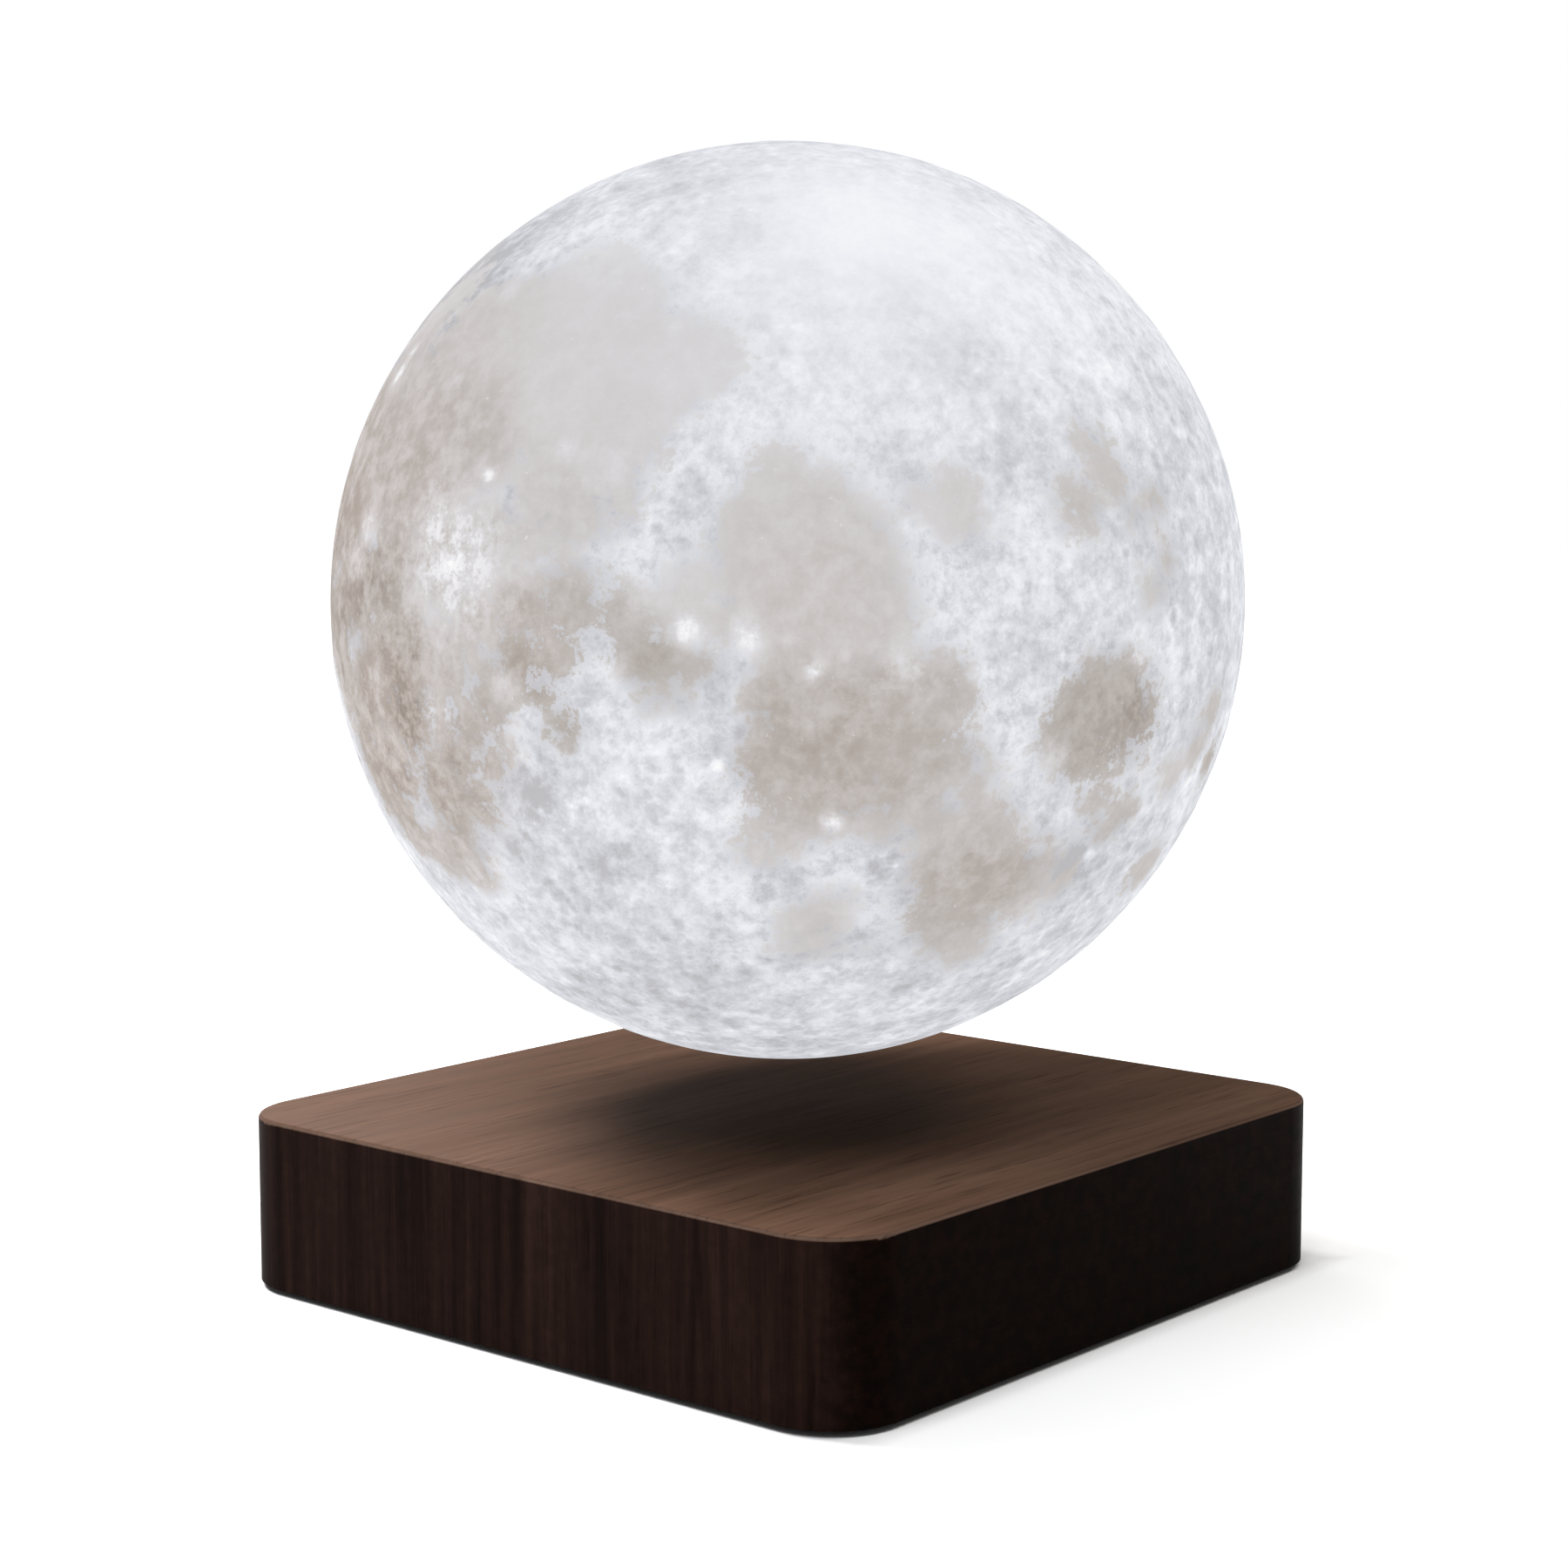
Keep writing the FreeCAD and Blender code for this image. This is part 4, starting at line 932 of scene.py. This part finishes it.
def walnut_material():
    """Dark satin veneer, its grain along Y on top and at the sides, upright on the two ends. The
    sides and ends carry painted shade, and the rounded top edge a painted sheen.
    """
    n = Nodes("walnut")
    where = n.place()
    facing = n.split(n.add("ShaderNodeTexCoord").outputs["Normal"])
    on_end = n.spread(n.math("ABSOLUTE", facing[1]), *END_BAND, smooth_step=True)
    on_top = n.spread(facing[2], *TOP_BAND, smooth_step=True)
    at_edge = n.spread(facing[2], *EDGE_BAND, smooth_step=True)
    at_edge = n.math("MULTIPLY", at_edge, n.math("SUBTRACT", 1.0, on_top))

    def grain(scale, detail, roughness, length):
        along = n.stretch(where, (1.0, 1 / length, 1.0))
        upright = n.stretch(where, (1.0, 1.0, 1 / length))
        mixed = n.add("ShaderNodeMix", data_type="FLOAT")
        n.link(on_end, mixed.inputs["Factor"])
        for socket, vector in ((2, along), (3, upright)):
            noise = n.noise(vector, scale, detail, roughness, GRAIN_DISTORTION)
            n.link(noise, mixed.inputs[socket])
        return mixed.outputs[0]

    bands = grain(*BANDS)
    streaks = grain(*STREAKS)
    pores = n.spread(grain(*PORES), *PORE_SPAN)
    colour = n.ramp(n.spread(n.blend(bands, streaks, TONE_MIX), *TONE_SPAN), WOOD_RAMP)
    colour = n.mix(pores, colour, WOOD_PORE)

    # painted shade: the sides and ends darkened against the top
    side = n.mix(1.0, colour, n.mix(on_end, SIDE_PAINTED_SHADE, END_PAINTED_SHADE), "MULTIPLY")
    lines = n.spread(n.blend(streaks, bands, LINE_MIX), *LINE_SPAN)
    lines = n.mix(lines, END_LINE_DARK, END_LINE_LIGHT)
    side = n.mix(on_end, side, n.mix(1.0, side, lines, "MULTIPLY"))
    spots = n.spread(n.noise(where, *MOTTLE), *SPOT_SPAN)
    spots = n.math("MULTIPLY", spots, n.math("MULTIPLY_ADD", on_end, END_SPOTS, 1.0))
    side = n.mix(spots, side, SIDE_SPOT)

    # painted sheen on the rounded top edge
    edge = n.mix(1.0, colour, EDGE_PAINTED_SHEEN, "MULTIPLY")
    colour = n.mix(at_edge, n.mix(on_top, side, colour), edge)
    n.set(Base_Color=colour, Roughness=n.spread(streaks, *SATIN), Specular_IOR_Level=WOOD_SHINE)
    relief_height = n.math("MULTIPLY_ADD", streaks, STREAK_BUMP, n.math("MULTIPLY", pores, -1.0))
    n.bump(relief_height, *WOOD_BUMP)
    return n.material


def plastic_material(name, dark, light, roughness, grain, depth):
    """Moulded plastic or rubber with a fine eroded skin."""
    n = Nodes(name)
    where = n.place()
    skin = n.noise(where, grain, *SKIN_NOISE)
    cloud = n.spread(n.noise(where, *CLOUD_NOISE), *MIDDLE_BAND)
    limits = (roughness - SKIN_SPREAD, roughness + SKIN_SPREAD)
    n.set(Base_Color=n.mix(cloud, linear(*dark), linear(*light)))
    n.set(Roughness=n.spread(skin, *MIDDLE_BAND, *limits))
    n.bump(skin, depth, SKIN_STRENGTH)
    return n.material


def metal_material(name, dark, light, roughness, direction):
    """Metal with fine brushed or drawn lines."""
    n = Nodes(name)
    lines = n.noise(n.place(direction), *BRUSHED_NOISE)
    share = n.spread(lines, *MIDDLE_BAND)
    limits = (roughness - BRUSHED_SPREAD, roughness + BRUSHED_SPREAD)
    n.set(Base_Color=n.mix(share, linear(*dark), linear(*light)), Metallic=1.0)
    n.set(Roughness=n.spread(lines, *MIDDLE_BAND, *limits))
    n.bump(lines, *BRUSHED_BUMP)
    return n.material


def copper_material():
    """Enamelled copper wire, whose turns show as fine level lines."""
    n = Nodes("copper")
    wave = n.add("ShaderNodeTexWave", wave_type="BANDS", bands_direction="Z", wave_profile="SIN")
    n.fill(wave, Vector=n.place(), Scale=TURNS_SCALE, Distortion=TURNS_DISTORTION)
    turns = wave.outputs["Fac"]
    n.set(Base_Color=n.mix(turns, COPPER_DARK, COPPER_LIGHT), Metallic=1.0)
    n.set(Roughness=n.spread(turns, *COPPER_ROUGHNESS))
    n.bump(turns, *TURNS_BUMP)
    return n.material


def board_material(name, mask_dark, mask_light):
    """Circuit board under solder mask, with straight copper tracks showing through."""
    n = Nodes(name)
    where = n.place()
    bricks = n.add("ShaderNodeTexBrick", offset=0.5)
    n.fill(bricks, Vector=where, Scale=TRACKS_SCALE, Mortar_Size=TRACKS_WIDTH)
    tracks = bricks.outputs["Fac"]
    blur = n.noise(where, *MASK_NOISE)
    mask = n.mix(n.spread(blur, *MIDDLE_BAND), linear(*mask_dark), linear(*mask_light))
    n.set(Base_Color=n.mix(n.math("MULTIPLY", tracks, TRACKS_SHARE), mask, TRACKS_COLOUR))
    n.set(Roughness=n.spread(blur, *MASK_ROUGHNESS))
    n.bump(tracks, *TRACKS_BUMP)
    return n.material


def make_materials():
    """A procedural material for each slot; the globe and its cup share one, so the cup glows as
    well: painted light on a part that is no lamp.
    """
    moon = moon_material()
    slots = {"walnut": walnut_material(), "copper": copper_material()}
    # painted light: the cup takes the globe's glowing print, so the sliver below the globe shows no
    # shade
    slots.update(moon_print=moon, cup_plastic=moon)
    for name, look in PLASTICS.items():
        slots[name] = plastic_material(name, *look)
    for name, look in METALS.items():
        slots[name] = metal_material(name, *look)
    for name, look in BOARDS.items():
        slots[name] = board_material(name, *look)
    return slots


def dress_nodes(slots):
    """Puts every frame piece's material on it."""
    for part in frame["record"]["subparts"]:
        piece = nodes[part["node"]]
        piece.data.materials.clear()
        piece.data.materials.append(slots[part["material_slot"]])


# ---- fittings


def each_of(node, count):
    """Lowest and highest corner of each of the pieces that stand evenly round the upright axis."""
    sectors = [[] for _ in range(count)]
    for vertex in nodes[node].data.vertices:
        angle = math.atan2(vertex.co.y, vertex.co.x) % (2 * math.pi)
        sectors[int(angle / (2 * math.pi) * count)].append(vertex.co)
    corners = []
    for points in sectors:
        low = Vector([min(point[axis] for point in points) for axis in range(3)])
        high = Vector([max(point[axis] for point in points) for axis in range(3)])
        corners.append((low, high))
    return corners


def foot_profile(radius, bottom, top):
    dish = bottom + FOOT_DISH
    profile = [(0.0, dish), (radius * DISH_FLAT, dish), (radius * DISH_RIM, bottom)]
    for step in range(ROUNDING_STEPS + 1):
        turn = math.pi / 2 * step / ROUNDING_STEPS
        across = radius - FOOT_EDGE * (1 - math.sin(turn))
        profile.append((across, bottom + FOOT_EDGE * (1 - math.cos(turn))))
    return [*profile, (radius, top), (0.0, top)]


def make_feet(material):
    """Rubber feet with a rounded lower edge and a shallow dish below."""
    whole = bmesh.new()
    for low, high in each_of("rubber_feet", FEET):
        profile = foot_profile((high.x - low.x) / 2, low.z, high.z)
        foot, _ = revolved_mesh("foot", profile, FOOT_SEGMENTS)
        middle = (low + high) / 2
        foot.transform(Matrix.Translation((middle.x, middle.y, 0)))
        whole.from_mesh(foot)
        bpy.data.meshes.remove(foot)
    mesh = bpy.data.meshes.new("round_feet")
    whole.to_mesh(mesh)
    whole.free()
    mesh.set_sharp_from_angle(angle=math.radians(SHARP_ANGLE))
    mesh.materials.append(material)
    feet = new_object(mesh)
    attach(feet, "base")
    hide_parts("rubber_feet")


def cross_cutter(points, reach, depth):
    """Tapered crosses, wide at each point and narrow at the depth, which is up or down."""
    arm = reach * RECESS_ARM
    outline = []
    for quarter in range(4):
        turn = Matrix.Rotation(quarter * math.pi / 2, 2)
        outline += [turn @ Vector(corner) for corner in ((reach, -arm), (reach, arm), (arm, arm))]
    count = len(outline)
    vertices = []
    faces = []
    for point in points:
        start = len(vertices)
        for scale, height in ((1.0, RECESS_START * depth), (RECESS_TAPER, depth)):
            for corner in outline:
                across = (point.x + corner.x * scale, point.y + corner.y * scale)
                vertices.append((*across, point.z + height))
        faces.append([start + k for k in range(count)])
        faces.append([start + count + k for k in reversed(range(count))])
        for k in range(count):
            after = (k + 1) % count
            faces.append([start + k, start + count + k, start + count + after, start + after])
    mesh = bpy.data.meshes.new("cutter")
    mesh.from_pydata(vertices, [], faces)
    whole = bmesh.new()
    whole.from_mesh(mesh)
    bmesh.ops.recalc_face_normals(whole, faces=whole.faces)
    whole.to_mesh(mesh)
    whole.free()
    return new_object(mesh)


def welded_copy(node, name):
    """A new object with a node's mesh, its doubled points joined."""
    solid = bmesh.new()
    solid.from_mesh(nodes[node].data)
    bmesh.ops.remove_doubles(solid, verts=solid.verts, dist=WELD_DISTANCE)
    mesh = bpy.data.meshes.new(name)
    solid.to_mesh(mesh)
    solid.free()
    return new_object(mesh)


def cut_out(piece, cutter):
    """Takes the cutter out of the piece, whose new mesh it returns."""
    cut = piece.modifiers.new("recess", "BOOLEAN")
    cut.operation = "DIFFERENCE"
    cut.solver = "EXACT"
    cut.object = cutter
    view = bpy.context.evaluated_depsgraph_get()
    done = bpy.data.meshes.new_from_object(piece.evaluated_get(view))
    piece.modifiers.clear()
    piece.data = done
    bpy.data.objects.remove(cutter)
    return done


def make_screws(node, count, depth, body, material):
    """A node's screws with a cross recess in each head; a depth below 0 goes down from the top."""
    corners = each_of(node, count)
    low, high = corners[0]
    head = high.x - low.x
    heads = []
    for low, high in corners:
        middle = (low + high) / 2
        heads.append(Vector((middle.x, middle.y, high.z if depth < 0 else low.z)))
    screws = welded_copy(node, node + "_recessed")
    mesh = cut_out(screws, cross_cutter(heads, head * RECESS_SHARE / 2, depth))
    mesh.set_sharp_from_angle(angle=math.radians(SHARP_ANGLE))
    mesh.materials.clear()
    mesh.materials.append(material)
    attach(screws, body)
    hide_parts(node)


# ---- stage and light


def make_stage():
    """A pale floor that brightens to white a little way off, as in the photograph."""
    mesh = bpy.data.meshes.new("floor")
    half = FLOOR_SIZE / 2
    corners = [(-half, -half, 0), (half, -half, 0), (half, half, 0), (-half, half, 0)]
    mesh.from_pydata(corners, [], [(0, 1, 2, 3)])
    floor = new_object(mesh)
    n = Nodes("floor")
    where = n.place()
    distance = n.add("ShaderNodeVectorMath", operation="LENGTH")
    n.link(where, distance.inputs[0])
    far = [base_side * share for share in FAR_BAND]
    away = n.spread(distance.outputs["Value"], *far, smooth_step=True)
    across, along = [n.math("ABSOLUTE", part) for part in n.split(where)[:2]]
    edge = [base_side * share for share in FOOTPRINT_BAND]
    outside = n.spread(n.math("MAXIMUM", across, along), *edge)
    glow = n.math("MULTIPLY", outside, n.spread(away, 0.0, 1.0, FLOOR_GLOW, FAR_GLOW))
    n.set(**FLOOR_LOOK, Emission_Color=WHITE, Emission_Strength=glow)
    mesh.materials.append(n.material)


def make_world():
    """A dim white sky and a white backdrop."""
    world = bpy.data.worlds.new("studio")
    world.use_nodes = True
    tree = world.node_tree
    back = tree.nodes["Background"]
    back.inputs["Color"].default_value = WHITE
    path = tree.nodes.new("ShaderNodeLightPath")
    strength = tree.nodes.new("ShaderNodeMapRange")
    strength.inputs["To Min"].default_value = SKY_STRENGTH
    strength.inputs["To Max"].default_value = BACKDROP_STRENGTH
    tree.links.new(path.outputs["Is Camera Ray"], strength.inputs["Value"])
    tree.links.new(strength.outputs["Result"], back.inputs["Strength"])
    bpy.context.scene.world = world


def softbox(name, place, target, side, power, colour):
    data = bpy.data.lights.new(name, "AREA")
    data.size = side
    data.energy = power
    data.color = colour
    lamp = bpy.data.objects.new(name, data)
    lamp.location = place
    direction = Vector(target) - Vector(place)
    lamp.rotation_euler = direction.to_track_quat("-Z", "Y").to_euler()
    bpy.context.scene.collection.objects.link(lamp)


def make_light():
    make_world()
    for light in SOFTBOXES:
        softbox(*light)
    view = bpy.context.scene.view_settings
    view.view_transform = "Standard"
    view.look = "None"
    view.exposure = 0
    view.gamma = 1


def linked(name, pieces, state):
    """A collection that includes or excludes the pieces among what a light shines on."""
    receivers = bpy.data.collections.new(name)
    for piece in pieces:
        receivers.objects.link(piece)
    for member in receivers.collection_objects:
        member.light_linking.link_state = state
    return receivers


def keep_light_apart(globe):
    """The globe's glow lights nothing but itself, and the light from the left passes it by."""
    glowing = [globe, nodes["magnet_cup"]]
    own = linked("glow_receivers", glowing, "INCLUDE")
    for piece in glowing:
        piece.light_linking.receiver_collection = own
    left = bpy.data.objects["softbox_left"]
    left.light_linking.receiver_collection = linked("left_receivers", [globe], "EXCLUDE")


def main():
    make_camera()
    make_stage()
    make_light()
    slots = make_materials()
    dress_nodes(slots)
    globe = make_globe(slots["moon_print"])
    make_feet(slots["foot_rubber"])
    for screws in SCREWS:
        make_screws(*screws, slots["screw_steel"])
    keep_light_apart(globe)


main()
